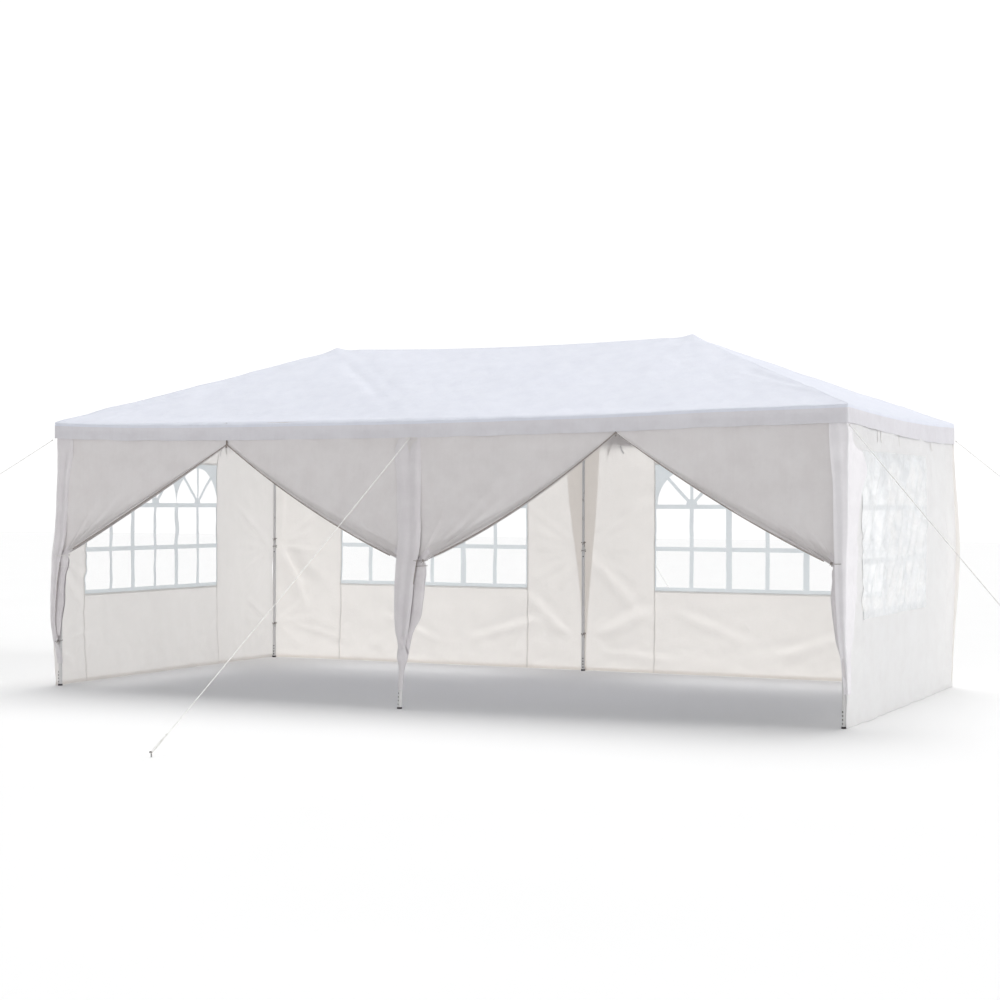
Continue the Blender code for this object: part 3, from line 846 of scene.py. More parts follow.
def lattice(width):
    """The printed glazing bars of a window as flat strips: three arched bays."""
    top = WINDOW_TOP - WINDOW_FOOT
    bay = width / 3

    def box(a0, a1, h0, h1):
        step = 0.02
        a = np.linspace(a0, a1, max(2, round((a1 - a0) / step)))
        h = np.linspace(h0, h1, max(2, round((h1 - h0) / step)))
        return np.meshgrid(a, h)

    spring_top = SPRING + THIN_BAR
    yield box(0, width, 0, 0.036)
    yield box(0, width, RAIL - THIN_BAR, RAIL + THIN_BAR)
    yield box(0, width, SPRING - THIN_BAR, spring_top)
    for low, high in ((0.036, RAIL - THIN_BAR), (RAIL + THIN_BAR, SPRING - THIN_BAR)):
        yield box(0, 0.015, low, high)
        yield box(width - 0.015, width, low, high)
        for k in range(3):
            middle = bay * (k + 0.5)
            yield box(middle - THIN_BAR, middle + THIN_BAR, low, high)
            if k:
                yield box(bay * k - THICK_BAR, bay * k + THICK_BAR, low, high)
    for k in range(3):
        middle = bay * (k + 0.5)
        turn = np.linspace(0, math.pi, 61)
        corner = math.atan2(top - spring_top, bay / 2)
        turn[np.argmin(abs(turn - corner))] = corner
        turn[np.argmin(abs(turn - math.pi + corner))] = math.pi - corner
        edge = np.minimum(bay / 2 / np.maximum(abs(np.cos(turn)), 1e-6),
                          (top - spring_top) / np.maximum(np.sin(turn), 1e-6))
        reach = ARCH + (edge - ARCH) * np.linspace(0, 1, 4)[:, None]
        yield middle + reach * np.cos(turn), spring_top + reach * np.sin(turn)
        hub = np.array([0.0, 0.046])[:, None]
        yield middle + hub * np.cos(turn), spring_top + hub * np.sin(turn)
        for angle in BAR_ANGLES:
            way = math.radians(angle)
            length = np.linspace(0.045, ARCH + 0.002, 8)
            half = np.array([-0.013, 0.013])[:, None]
            yield (middle + length * math.cos(way) - half * math.sin(way),
                   spring_top + length * math.sin(way) + half * math.cos(way))


def make_walls():
    for panel, film in ((BACK_LEFT, CLEAR_FILM), (BACK_RIGHT, CLEAR_FILM),
                        (END_LEFT, CLEAR_FILM), (END_RIGHT, MILKY_FILM)):
        wall = make_wall(panel)
        make_window(panel, film)
        ribbons = make_wall_ribbons(panel)


def make_wall_ribbons(panel):
    """Ribbons that tie the top of a wall over the rail, with their loose ends outside."""
    draw = np.random.default_rng(len(panel.name) * 7 + round(panel.left * 10))
    grids = []
    rail_in = WALL_Y - LEG_Y
    radius = RAIL_RADIUS + 0.0018
    for u in np.linspace(panel.start + 0.28, panel.end - 0.28, 6):
        turn = np.linspace(-0.4 * math.pi, 1.35 * math.pi, 20)
        loop = panel.put(u + 0.012 * np.sin(turn * 0.5), RAIL_Z + radius * np.sin(turn + 0.2),
                         -rail_in + radius * np.cos(turn + 0.2))
        grids.append(strap(loop, rail_up(panel, turn), 0.014, 0.0012))
        for way in (-1, 1):
            length = draw.uniform(0.09, 0.19)
            s = np.linspace(0, 1, 12)
            swing = draw.uniform(0.02, 0.07) * way
            path = panel.put(u + way * 0.006 + swing * s + 0.008 * np.sin(6 * s + u),
                             WALL_TOP + 0.003 - length * s, 0.004 + 0.002 * np.sin(5 * s + u)
                             + 0.004 * eased(0.6, 1.0, s))
            grids.append(strap(path, panel_out(panel), 0.012, 0.0010))
    return joined_grids("wall_ribbons_" + panel.name, grids, WEBBING, loop=True)


def panel_out(panel):
    origin = panel.put(np.zeros(1), np.zeros(1), np.zeros(1))[0]
    return panel.put(np.zeros(1), np.zeros(1), np.ones(1))[0] - origin


def rail_up(panel, turn):
    """Out of the rail's surface, for a ribbon that goes round it."""
    out = panel_out(panel)
    return (np.cos(turn + 0.2)[:, None] * out[None]
            + np.sin(turn + 0.2)[:, None] * np.array([[0, 0, 1.0]]))


# Door curtains

def leg_place(place, z):
    """Centre of a front leg at a height."""
    z = np.asarray(z, float)
    if place == "middle":
        share = z / MIDDLE_JOINT_Z
        return MIDDLE_FOOT_X * (1 - share), MIDDLE_FOOT_Y + (-LEG_Y - MIDDLE_FOOT_Y) * share
    x = LEG_X if place == "right" else -LEG_X
    return x + 0 * z, -LEG_Y + 0 * z


class Curtain:
    """Half a door panel, from its leg to the zip, tied back to the leg."""

    def __init__(self, name, place, bay, tie_x, sag, zip_foot, leg_edge, seam, tail, seed,
                 proud=0.0):
        self.name = name
        self.place = place
        self.bay = bay
        self.tie_x = tie_x
        self.sag = sag
        self.zip_foot = zip_foot
        self.leg_edge = leg_edge
        self.seam = seam
        self.tail = tail
        self.seed = seed
        self.proud = proud
        self.way = 1 if bay > leg_place(place, 1.0)[0] else -1

    def outer(self, z):
        """Y of the cloth's own line at a height, without folds."""
        return leg_place(self.place, z)[1] - 0.021 - self.proud * eased(1.90, 1.70, z)

    def free_edge(self, w):
        """X, Y and Z of the zip edge: down the zip, then on a shallow curve to the tie."""
        zip_share = 0.10
        down = np.clip(w / zip_share, 0, 1)
        way = np.clip((w - zip_share) / (1 - zip_share), 0, 1)
        way = way * (0.8 + 0.2 * way)
        z = WALL_TOP + (self.zip_foot - WALL_TOP) * down
        z = z + (TIE_Z - self.zip_foot) * way - 4 * self.sag * way * (1 - way)
        x = self.bay - self.way * 0.0015 + (self.tie_x - self.bay) * way
        tie_y = self.outer(TIE_Z)
        y = -WALL_Y - 0.002 + (tie_y + WALL_Y + 0.002) * way
        return x, y, z

    def tail_line(self, z, k):
        return through([(row[0], row[k]) for row in self.tail[::-1]], z)


def sail_points(c, w, q):
    """The curtain above its tie: leg edge, sail, then the layers rolled behind the free edge."""
    strip, face = 0.06, 0.68
    leg_z = WALL_TOP + (TIE_Z - WALL_TOP) * w
    leg_x = through(c.leg_edge, leg_z)
    seam_x = through(c.seam, leg_z)
    free_x, free_y, free_z = c.free_edge(w)
    on_strip = np.clip(q / strip, 0, 1)
    on_face = np.clip((q - strip) / (face - strip), 0, 1)
    on_roll = np.clip((q - face) / (1 - face), 0, 1)
    x = leg_x + (seam_x - leg_x) * on_strip + (free_x - seam_x) * on_face
    z = leg_z + (free_z - leg_z) * (0.02 * on_strip + 0.98 * on_face)
    y = c.outer(z) + (free_y - c.outer(z)) * on_face * eased(0.0, 0.5, on_face)
    # A few soft folds that run to the tie
    draw = np.random.default_rng(c.seed)
    for middle, tall in ((0.30, 0.5), (0.55, 0.8), (0.74, 1.0), (0.88, 0.7)):
        line = middle + draw.uniform(-0.08, 0.08) * (1 - w)
        spread = draw.uniform(0.035, 0.06)
        rise = hump(on_face, line, spread) - 0.55 * hump(on_face, line + 1.8 * spread, spread)
        y = y - 0.0055 * tall * eased(draw.uniform(0.0, 0.3), 1.0, w) * rise * (on_face > 0)
    flat = eased(0, 0.2, on_face) * (1 - on_roll)
    y = y - 0.006 * ripples(x, z, c.seed + 1, 8, 0.9, 0.25) * flat
    y = y - 0.0022 * ripples(x, z, c.seed + 2, 12, 0.25, 0.08) * flat
    # The gathered edge: a soft band in front, with its layers folded behind it
    back_x, back_z = seam_x - free_x, leg_z - free_z + 0.35
    norm = np.hypot(back_x, back_z)
    band = 0.012 + 0.070 * eased(0.1, 0.95, w)
    front = 0.016 + 0.040 * eased(0.0, 0.95, w)
    edge_near = np.hypot(free_x - x, free_z - z)
    roll = 0.012 * hump(edge_near, 0.45 * front, 0.42 * front)
    roll = roll - 0.005 * hump(edge_near, 1.25 * front, 0.25 * front)
    y = y - roll * eased(0.05, 0.5, w) * (on_roll == 0) * (q > strip)
    phase = on_roll * LAYERS
    saw = np.abs((phase + 1) % 2 - 1) * (1 - 0.04 * phase)
    x = x + back_x / norm * band * saw
    z = z + back_z / norm * band * saw
    y = y + 0.0032 * phase * (0.5 + 0.5 * eased(0.05, 1.0, w))
    return np.stack([x, y, z], -1)


def tail_points(c, v, q):
    """The curtain below its tie, wound into a flat roll with its leg edge outermost."""
    end = c.tail[-1][0]
    z = TIE_Z + (end - TIE_Z) * v
    left, right, deep = (c.tail_line(z, k) for k in (1, 2, 3))
    girth = math.pi * (c.tail[0][2] - c.tail[0][1] + c.tail[0][3]) * 0.64
    turns = 1.38 * BAY_MIDDLE / girth
    angle = c.way * 2 * math.pi * turns * q + 0.5 * c.seed
    folds = 1 + 0.10 * np.sin(2 * angle + c.seed + 2.0 * v) + 0.06 * np.sin(5 * angle - 3.0 * v)
    folds = folds + 0.03 * np.sin(9 * angle + 5 * v + c.seed) * np.sin(23 * v + angle)
    size = (1 - 0.72 * q) * folds * 0.93
    sway = 0.006 * ripples(z, 0 * q, c.seed + 5, 6, 0.5, 0.12, (0, 0.001))
    x = (left + right) / 2 + sway + (right - left) / 2 * size * np.cos(angle)
    y = c.outer(z) + 0.004 - deep / 2 + deep / 2 * size * np.sin(angle)
    z = z + (0.030 * np.cos(angle + c.seed) + 0.05 * q) * v ** 2
    z = z + 0.006 * ripples(angle, 9 * v, c.seed + 6, 8, 3.0, 1.0)
    return np.stack([x, y, z], -1)


def make_curtain(c):
    rows_up, rows_down, columns = 90, 64, 280
    w = np.linspace(0, 1, rows_up)[:, None] ** 0.92
    v = np.linspace(0, 1, rows_down + 1)[1:, None]
    q = np.linspace(0, 1, columns)[None]
    points = np.concatenate([sail_points(c, w, q), tail_points(c, v, q)])
    # Draw the two parts together at the tie
    for _ in range(7):
        part = points[rows_up - 7:rows_up + 6]
        part[1:-1] = part[1:-1] * 0.4 + (part[2:] + part[:-2]) * 0.3
    flat = np.broadcast_arrays(q * BAY_MIDDLE, np.concatenate([w * 1.0, 1.0 + v * 0.75]))
    piece = cloth("door_curtain_cloth_" + c.name, points, flat, CURTAIN_CLOTH,
                  ["door_curtain_" + c.name], sharp=60)
    piece.data.materials.append(BUNDLE_CLOTH)
    row = np.arange(len(piece.data.polygons)) // (columns - 1)
    piece.data.polygons.foreach_set("material_index", (row >= rows_up - 3).astype(np.int32))
    tape = make_zip(c)


def make_zip(c):
    """Zip tape down the free edge, with the slider at its foot."""
    w = np.linspace(0.0, 0.97, 120)
    x, y, z = c.free_edge(w)
    path = np.stack([x - c.way * 0.001, y - 0.008 * eased(0.1, 0.4, w) - 0.003, z], -1)
    grids = [strap(path, (0, 1, 0.0), 0.0065, 0.0016)]
    if c.way > 0:
        turn = np.linspace(0, 2 * math.pi, 24)
        pull = np.stack([c.bay + 0.004 * np.sin(turn), -WALL_Y - 0.009 + 0 * turn,
                         c.zip_foot - 0.010 + 0.013 * np.cos(turn)], -1)
        grids.append(rod(pull, 0.0022, 7, up=(0, 1, 0)))
    return joined_grids("door_zip_" + c.name, grids, ZIP_TAPE, loop=True)


# Height, left x, right x and depth of each bundle below its tie
FRONT_LEFT_TAIL = ((0.99, -2.990, -2.868, 0.045), (0.88, -2.992, -2.880, 0.048),
                   (0.78, -2.994, -2.896, 0.048), (0.585, -2.997, -2.912, 0.046),
                   (0.49, -2.998, -2.926, 0.042), (0.40, -2.998, -2.940, 0.032),
                   (0.34, -2.992, -2.955, 0.018))
MIDDLE_LEFT_TAIL = ((0.99, -0.016, 0.082, 0.042), (0.80, -0.010, 0.080, 0.044),
                    (0.65, -0.006, 0.078, 0.044), (0.52, 0.002, 0.074, 0.038),
                    (0.42, 0.016, 0.068, 0.028), (0.38, 0.024, 0.062, 0.016))
MIDDLE_RIGHT_TAIL = ((0.99, 0.078, 0.200, 0.046), (0.84, 0.074, 0.204, 0.050),
                     (0.71, 0.072, 0.200, 0.050), (0.60, 0.070, 0.184, 0.044),
                     (0.53, 0.068, 0.143, 0.036), (0.46, 0.072, 0.112, 0.028),
                     (0.38, 0.062, 0.094, 0.016))
FRONT_RIGHT_TAIL = ((0.99, 2.898, 2.990, 0.045), (0.81, 2.898, 2.992, 0.050),
                    (0.68, 2.906, 2.993, 0.050), (0.52, 2.926, 2.993, 0.044),
                    (0.43, 2.952, 2.993, 0.034), (0.33, 2.968, 2.992, 0.018))

CURTAINS = (
    Curtain("left_outer", "left", -BAY_MIDDLE, -2.892, 0.010, 1.775,
            ((0.9, -2.992), (1.94, -2.986)), ((0.9, -2.930), (1.2, -2.880), (1.94, -2.835)),
            FRONT_LEFT_TAIL, 101),
    Curtain("left_inner", "middle", -BAY_MIDDLE, -0.035, 0.055, 1.775,
            ((0.9, 0.060), (1.94, 0.050)), ((0.9, -0.020), (1.94, -0.090)),
            MIDDLE_LEFT_TAIL, 102, 0.008),
    Curtain("right_inner", "middle", BAY_MIDDLE, 0.188, 0.065, 1.820,
            ((0.9, 0.060), (1.94, 0.000)), ((0.9, 0.110), (1.94, 0.060)),
            MIDDLE_RIGHT_TAIL, 103),
    Curtain("right_outer", "right", BAY_MIDDLE, 2.910, 0.045, 1.820,
            ((0.9, 2.996), (1.94, 2.990)), ((0.9, 2.945), (1.94, 2.900)),
            FRONT_RIGHT_TAIL, 104),
)


# Margins of the curtains, down the front of the legs

# Height, left x, right x, how far in front of the leg, and how far it closes round the leg
LEFT_MARGIN = ((1.900, -2.990, -2.840, 0.024, 0.0), (1.740, -2.991, -2.845, 0.034, 0.0),
               (1.580, -2.994, -2.874, 0.034, 0.0), (1.320, -3.003, -2.894, 0.036, 0.0),
               (1.050, -3.010, -2.910, 0.055, 0.0), (0.930, -3.006, -2.924, 0.072, 0.0),
               (0.780, -3.006, -2.940, 0.080, 0.0), (0.580, -3.012, -2.960, 0.078, 0.0),
               (0.450, -3.016, -2.974, 0.068, 0.1), (0.340, -3.016, -2.972, 0.046, 0.3),
               (0.250, -3.002, -2.960, 0.028, 0.6), (0.165, -2.995, -2.956, 0.0180, 1.0))
MIDDLE_MARGIN = ((1.900, -0.128, 0.078, 0.022, 0.0), (1.800, -0.126, 0.081, 0.024, 0.0),
                 (1.700, -0.118, 0.086, 0.034, 0.0),
                 (1.410, -0.079, 0.109, 0.038, 0.0), (1.020, -0.027, 0.136, 0.066, 0.0),
                 (0.840, -0.017, 0.131, 0.082, 0.0), (0.650, -0.012, 0.116, 0.082, 0.0),
                 (0.510, 0.000, 0.098, 0.068, 0.1), (0.420, 0.014, 0.076, 0.044, 0.3),
                 (0.345, 0.005, 0.087, 0.037, 0.5), (0.280, 0.014, 0.062, 0.024, 0.9),
                 (0.125, 0.020, 0.055, 0.0175, 1.0))
# Height, left x, how far in front of the leg, and y of the edge that wraps on to the end wall
RIGHT_MARGIN = ((1.900, 2.885, 0.024, -1.370), (1.800, 2.885, 0.030, -1.410),
                (1.745, 2.888, 0.034, -1.420), (1.690, 2.892, 0.034, -1.250),
                (1.640, 2.896, 0.034, -1.185), (1.470, 2.912, 0.034, -1.222),
                (1.330, 2.914, 0.036, -1.305), (1.020, 2.930, 0.066, -1.336),
                (0.780, 2.940, 0.074, -1.360), (0.535, 2.956, 0.070, -1.403),
                (0.420, 2.966, 0.050, -1.430), (0.300, 2.972, 0.030, -1.452),
                (0.210, 2.978, 0.022, -1.462))


def declare_margin(name, points, flat, finish):
    strip = cloth("door_margin_" + name, points, flat, finish, sharp=60)


def make_margin(name, table, seed, size, shade_tape_top, shade_tape_foot):
    """A flat strip with soft upright folds, which closes round the leg at its foot."""
    z = np.linspace(table[0][0], table[-1][0], 120)[:, None]
    s = np.linspace(-1, 1, 40)[None]
    left, right, proud, closed = (through([(row[0], row[k]) for row in table[::-1]], z)
                                  for k in (1, 2, 3, 4))
    bend = np.radians(60 + 95 * np.clip(closed, 0, 1)) * s
    wide = np.sin(np.minimum(np.radians(60 + 95 * np.clip(closed, 0, 1)), math.pi / 2))
    round_share = 0.15 + 0.85 * np.clip(closed, 0, 1)
    x = (left + right) / 2 + (right - left) / 2 * np.sin(bend) / wide
    y = leg_place(name, z)[1] - proud * (1 - round_share + round_share * np.cos(bend))
    loose = (1 - np.clip(closed, 0, 1)) * eased(1.86, 1.66, z)
    # The two edges lie back against the curtain
    y = y + loose * 0.012 * np.abs(s) ** 5 * eased(0.95, 1.15, z)
    y = y - loose * (0.006 * hump(s, -0.35, 0.28) - 0.005 * hump(s, 0.15, 0.2)
                     + 0.006 * hump(s, 0.62, 0.25))
    y = y - (0.3 + 0.7 * loose) * 0.0025 * ripples(s * 0.2, z, seed, 10, 0.5, 0.1)
    x = x + 0.003 * loose * ripples(0 * s, z, seed + 1, 7, 0.5, 0.12)
    points = np.stack([x, y, z + 0 * x], -1)
    # Painted shade: a dark tape in the zip's colour runs down the strip's edge where the edge shades the
    # curtain.
    edge = points[(z[:, 0] < shade_tape_top) & (z[:, 0] > shade_tape_foot), -1] - (0.002, 0.002, 0)
    tape = joined_grids("margin_zip_" + name, [strap(edge, (0, 1, 0), 0.004, 0.0016)], ZIP_TAPE,
                        loop=True)
    flat = np.broadcast_arrays((s + 1) / 2 * size[0], table[0][0] - z)
    declare_margin(name, points, flat, MARGIN_CLOTH)


def make_corner_margin():
    """The right margin: down the front of the corner leg and round on to the end wall."""
    z = np.linspace(RIGHT_MARGIN[0][0], RIGHT_MARGIN[-1][0], 150)[:, None]
    left, proud, back = (through([(row[0], row[k]) for row in RIGHT_MARGIN[::-1]], z)
                         for k in (1, 2, 3))
    s = np.linspace(0, 1, 64)[None]
    front_y = -LEG_Y - proud
    corner = 3.008 + 0 * z
    on_front = np.clip(s / 0.4, 0, 1)
    on_side = np.clip((s - 0.4) / 0.6, 0, 1)
    y = front_y + (back - front_y) * on_side
    side_x = WALL_X + right_end_swell(np.maximum(y, -WALL_Y), z) + 0.012
    side_x = np.where(z > 1.84, 3.000, np.maximum(side_x, corner))
    corner = corner - 0.008 * eased(1.80, 1.86, z)
    x = left + (corner - left) * on_front + (side_x - corner) * eased(0, 0.25, on_side)
    x = x + (0.007 * np.sin(math.pi * on_side) * (1 + 0.8 * np.sin(17 * z + 4 * on_side))
             + 0.004 * ripples(y, z, 211, 10, 0.4, 0.08)) * eased(0, 0.15, on_side) * eased(
                 1.86, 1.78, z)
    y = y - eased(0, 0.1, on_front) * (1 - on_side) * (
        0.004 * np.sin(9 * on_front + 2 * z) + 0.0025 * ripples(x, z, 212, 10, 0.4, 0.08))
    points = np.stack([x, y, z + 0 * x], -1)
    for _ in range(6):
        points[:, 1:-1] = points[:, 1:-1] * 0.5 + (points[:, 2:] + points[:, :-2]) * 0.25
    size = (0.34, 1.72)
    flat = np.broadcast_arrays(s * size[0], RIGHT_MARGIN[0][0] - z)
    # The strip takes the whiter margin finish, which is painted sunlight.
    declare_margin("right", points, flat, CORNER_MARGIN_PAINTED_SUNLIGHT)


# Cords and pegs

def make_guy(name, start, peg):
    start, end = np.array(start), np.array([peg[0], peg[1], PEG_TIE_Z])
    length = float(np.linalg.norm(end - start))
    s = np.linspace(0, 1, int(length / 0.006))[:, None]
    line = start + (end - start) * s
    line[:, 2] -= 0.012 * 4 * s[:, 0] * (1 - s[:, 0])
    cord = rod(line, CORD_RADIUS, 9, 3, 2 * math.pi / 0.022, 0.16)
    ahead = (end - start) / length
    grids = [cord]
    # Knot at the hem and a wound knot above the peg's loop
    for centre, size in ((start + ahead * 0.004, 0.0062), (end - ahead * 0.16, 0.0055)):
        turn = np.linspace(0, 3.5 * 2 * math.pi, 64)
        side = np.cross(ahead, (0, 0, 1.0))
        side /= np.linalg.norm(side)
        high = np.cross(side, ahead)
        coil = (centre + ahead * np.linspace(-0.006, 0.006, 64)[:, None]
                + side * (np.cos(turn) * size * 0.6)[:, None]
                + high * (np.sin(turn) * size * 0.6)[:, None])
        grids.append(rod(coil, 0.0016, 7))
    # Loop from the knot round the peg
    turn = np.linspace(0, 2 * math.pi, 40)
    flat = np.array([ahead[0], ahead[1], 0]) / np.hypot(ahead[0], ahead[1])
    side = np.array([-flat[1], flat[0], 0])
    knot = end - ahead * 0.155
    loop = (end + flat * 0.006)[None] + side * (np.sin(turn) * 0.011)[:, None]
    back = (0.5 - 0.5 * np.cos(turn))[:, None]
    loop = loop * (1 - back) + (knot + side * (np.sin(turn) * 0.004)[:, None]) * back
    grids.append(rod(loop, 0.0018, 7))
    joined_grids("guy_cord_" + name, grids, CORD, ["guy_line_" + name], loop=True)
    peg_base = np.array([peg[0], peg[1], 0.0])
    rise = np.array([[0, 0, 0.0], [0, 0, 0.010], [0, 0, 0.022]])
    bend = [peg_base + r for r in rise]
    for angle in np.linspace(0.2, math.pi * 0.95, 8):
        bend.append(peg_base + np.array([0, 0, 0.024]) + flat * (0.008 - 0.008 * math.cos(angle))
                    + np.array([0, 0, 0.0065 * math.sin(angle)]))
    joined_grids("guy_peg_" + name, [rod(np.array(bend), 0.0035, 12, up=side)], STEEL,
                 loop=True)


def make_guys():
    for row, sign_y, eaves in (("front", -1, FRONT_EAVE), ("back", 1, BACK_EAVE)):
        for side, sign_x in (("left", -1), ("right", 1)):
            hem = eaves[0][1] if sign_x < 0 else eaves[-1][1]
            start = (sign_x * (COVER_X + 0.006), sign_y * (COVER_Y + 0.006), hem - VALANCE_DROP - 0.015)
            make_guy(f"{row}_{side}", start, (sign_x * CORNER_PEG[0], sign_y * CORNER_PEG[1]))
        hem = float(through(eaves, 0.0))
        start = (0, sign_y * (COVER_Y + 0.012), hem - VALANCE_DROP - 0.005)
        make_guy(row + "_middle", start, (0, sign_y * MIDDLE_PEG_Y))


# Ties and leg fittings

def make_tie(name, centre, radii, levels, finish, ends=0.05, knot_side=0.7):
    """Cord drawn round a leg or a bundle, one turn for each level, with a knot and two ends."""
    grids = []
    for k, z in enumerate(levels):
        turn = np.linspace(0, 2 * math.pi, 61)
        path = np.stack([centre[0] + radii[0] * np.cos(turn), centre[1] + radii[1] * np.sin(turn),
                         z + 0.004 * np.sin(turn + 1.7 * k)], -1)
        grids.append(rod(path, 0.0017, 8, 3, 2 * math.pi / 0.018, 0.15))
    knot = np.array([centre[0] + knot_side * radii[0], centre[1] - 0.72 * radii[1] - 0.003, levels[0]])
    turn = np.linspace(0, 5 * math.pi, 60)
    coil = knot + np.stack([0.0045 * np.cos(turn), 0.003 * np.sin(turn) - 0.002,
                            0.006 * np.cos(0.7 * turn)], -1)
    grids.append(rod(coil, 0.0018, 8))
    s = np.linspace(0, 1, 18)
    for way in (-1, 1):
        end = knot + np.stack([way * 0.3 * ends * s + 0.003 * np.sin(5 * s), -0.004 - 0.006 * s,
                               -ends * s * (0.8 + 0.2 * way)], -1)
        grids.append(rod(end, 0.0016, 8, 3, 2 * math.pi / 0.018, 0.15))
    joined_grids(name, grids, finish, loop=True)


def make_ties():
    middle_y = leg_place("middle", TIE_Z)[1]
    make_tie("tie_front_left", (-2.926, -1.520), (0.067, 0.031), (0.975, 0.968, 0.885), WEBBING,
             0.03)
    make_tie("tie_front_left_foot", (-2.982, -1.486), (0.026, 0.034), (0.335,), TIE_CORD_PARTLY_SHADE,
             0.03)
    make_tie("tie_front_middle", (0.139, middle_y - 0.046), (0.060, 0.031), (0.985, 0.945),
             TIE_CORD_PARTLY_SHADE, 0.03)
    make_tie("tie_front_right", (2.946, -1.520), (0.046, 0.028), (1.005,), TIE_CORD_PARTLY_SHADE,
             0.02, -0.7)
    for name, x in (("left", -LEG_X), ("middle", 0.0), ("right", LEG_X)):
        for level, heights in (("upper", (1.050, 0.985, 0.978)), ("lower", (0.305, 0.297))):
            make_tie(f"tie_back_{name}_{level}", (x, LEG_Y + 0.004), (0.019, 0.0185), heights,
                     TIE_CORD_PARTLY_SHADE, 0.035)


def make_leg_holes():
    """Four punched holes up the foot sleeve, with painted shade inside them, and a spring button under the
    collar, on each leg.
    """
    for name in ("front_left", "front_middle", "front_right", "back_left", "back_middle",
                 "back_right"):
        row, side = name.split("_")
        grids, button_and_hole_shade = [], []
        for z, size, radius in [(0.030 + 0.024 * k, 0.0042, 0.0151) for k in range(4)] + [
                (LEG_COLLAR_Z - 0.045, 0.0040, 0.0136)]:
            if row == "front":
                x, y = leg_place(side, z)
            else:
                x, y = {"left": -LEG_X, "middle": 0.0, "right": LEG_X}[side], LEG_Y
            face = np.array([-0.35, -0.937, 0.0]) if row == "front" else np.array([0.3, -0.954, 0.0])
            across = np.array([-face[1], face[0], 0.0])
            turn = np.linspace(0, 2 * math.pi, 20, endpoint=False)
            rings = []
            for share, proud in ((1.35, -0.0003), (1.3, 0.0007), (1.05, 0.0009), (0.95, 0.0001)):
                ring = [np.array([x, y, z]) + face * math.sqrt(max(
                    (radius + proud) ** 2 - (size * share * math.cos(a)) ** 2, 0))
                    + across * size * share * math.cos(a)
                    + np.array([0, 0, size * share * math.sin(a)]) for a in turn]
                rings.append(ring)
            rim = np.array(rings)
            grids.append(rim)
            # In the four holes the dark disc sits just inside the rim as painted shade for the hollow tube;
            # under the collar it stands out as the dark spring button.
            middle = rim[-1].mean(0) - face * (0.0004 if z < 0.2 else -0.0018)
            button_and_hole_shade.append(np.array([rim[-1], (rim[-1] + middle) / 2 + face * 0.0001,
                                  np.broadcast_to(middle, rim[-1].shape)]))
        joined_grids("leg_eyelets_" + name, grids, STEEL, loop=True)
        joined_grids("leg_holes_" + name, button_and_hole_shade, BUTTON_STEEL_AND_HOLE_SHADE, loop=True)


def dress_frame():
    for node, object_name in ((o.get("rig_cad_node"), o.name) for o in bpy.data.objects):
        if not node:
            continue
        part = bpy.data.objects[object_name]
        finish = (LEG_PAINT if node.startswith("leg_") else JOINT_PAINT if "joint" in node
                  else FRAME_PAINT)
        for slot in part.material_slots:
            slot.material = finish


# Setting

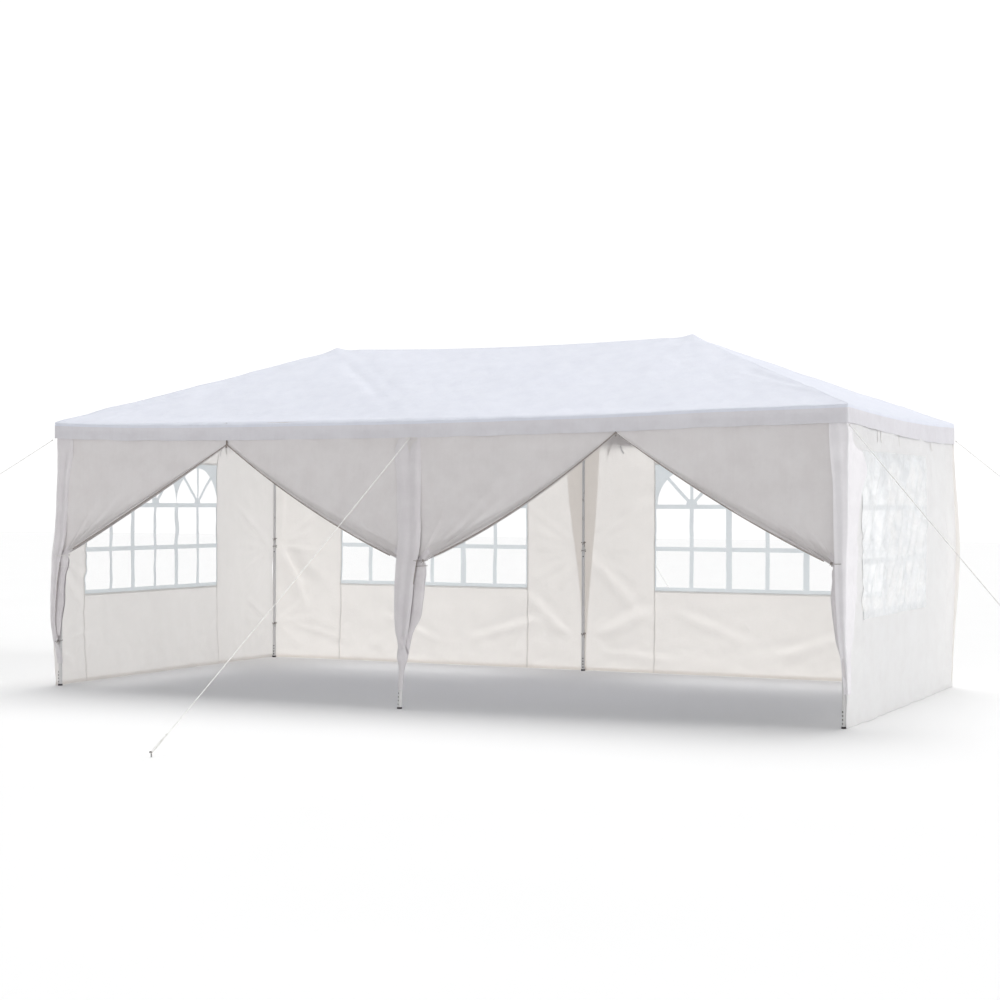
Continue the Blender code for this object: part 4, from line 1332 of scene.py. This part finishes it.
def make_setting():
    scene = bpy.context.scene
    scene.view_settings.view_transform = "Standard"
    camera = bpy.data.objects.new("camera", bpy.data.cameras.new("camera"))
    scene.collection.objects.link(camera)
    camera.location = (5.991, -12.637, 1.350)
    camera.rotation_euler = Euler((math.radians(90.17), math.radians(-0.17), math.radians(25.56)))
    camera.data.sensor_width = 36.0
    camera.data.lens = 67.32
    camera.data.clip_end = 200.0
    scene.camera = camera

    world = bpy.data.worlds.new("studio")
    scene.world = world
    world.use_nodes = True
    tree = world.node_tree
    soft = tree.nodes["Background"]
    soft.inputs["Color"].default_value = (1.0, 1.0, 1.0, 1.0)
    soft.inputs["Strength"].default_value = 0.37
    # The backdrop shows white, and lights the tent more softly
    backdrop = tree.nodes.new("ShaderNodeBackground")
    backdrop.inputs["Color"].default_value = (1.0, 1.0, 1.0, 1.0)
    backdrop.inputs["Strength"].default_value = 1.06
    seen = tree.nodes.new("ShaderNodeLightPath")
    either = tree.nodes.new("ShaderNodeMixShader")
    tree.links.new(seen.outputs["Is Camera Ray"], either.inputs[0])
    tree.links.new(soft.outputs[0], either.inputs[1])
    tree.links.new(backdrop.outputs[0], either.inputs[2])
    tree.links.new(either.outputs[0], tree.nodes["World Output"].inputs["Surface"])

    # Where each light stands, how strong it is and how wide
    for name, way, energy, width in (("key", (-0.10, 0.38, 0.91), 2.02, 45),
                                     ("right_fill", (0.96, 0.10, 0.22), 1.70, 40),
                                     ("front_fill", (0.15, -0.98, 0.12), 0.62, 30),
                                     ("left_fill", (-0.97, 0.10, 0.14), 0.70, 30)):
        lamp = bpy.data.lights.new(name, "SUN")
        lamp.energy = energy
        lamp.angle = math.radians(width)
        light = bpy.data.objects.new(name, lamp)
        scene.collection.objects.link(light)
        light.rotation_euler = Vector(way).to_track_quat("Z", "Y").to_euler()

    own = Finish("studio_floor")
    speck = own.noise(1.5, 3.0, 0.5)
    base = own.blend(speck, (0.865, 0.865, 0.865, 1.0), (0.885, 0.885, 0.885, 1.0))
    finish = own.done(own.surface(Base_Color=base, Roughness=0.9))
    edge = np.linspace(-60, 60, 13)
    a, b = np.meshgrid(edge, edge)
    mesh = bpy.data.meshes.new("studio_floor")
    mesh.from_pydata(np.stack([a, b, 0 * a], -1).reshape(-1, 3).tolist(), [],
                     grid_faces(13, 13).reshape(-1, 4).tolist())
    mesh.materials.append(finish)
    floor = bpy.data.objects.new("studio_floor", mesh)
    scene.collection.objects.link(floor)
    floor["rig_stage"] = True


make_setting()
dress_frame()
make_cover()
make_walls()
for half in CURTAINS:
    make_curtain(half)
make_margin("left", LEFT_MARGIN, 201, (0.16, 1.76), 0.93, 0.35)
make_margin("middle", MIDDLE_MARGIN, 205, (0.21, 1.80), 1.00, 0.82)
make_corner_margin()
make_guys()
make_ties()
make_leg_holes()

boxes = [[[float(v) for v in corner] for corner in box] for box in (cad_box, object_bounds())]
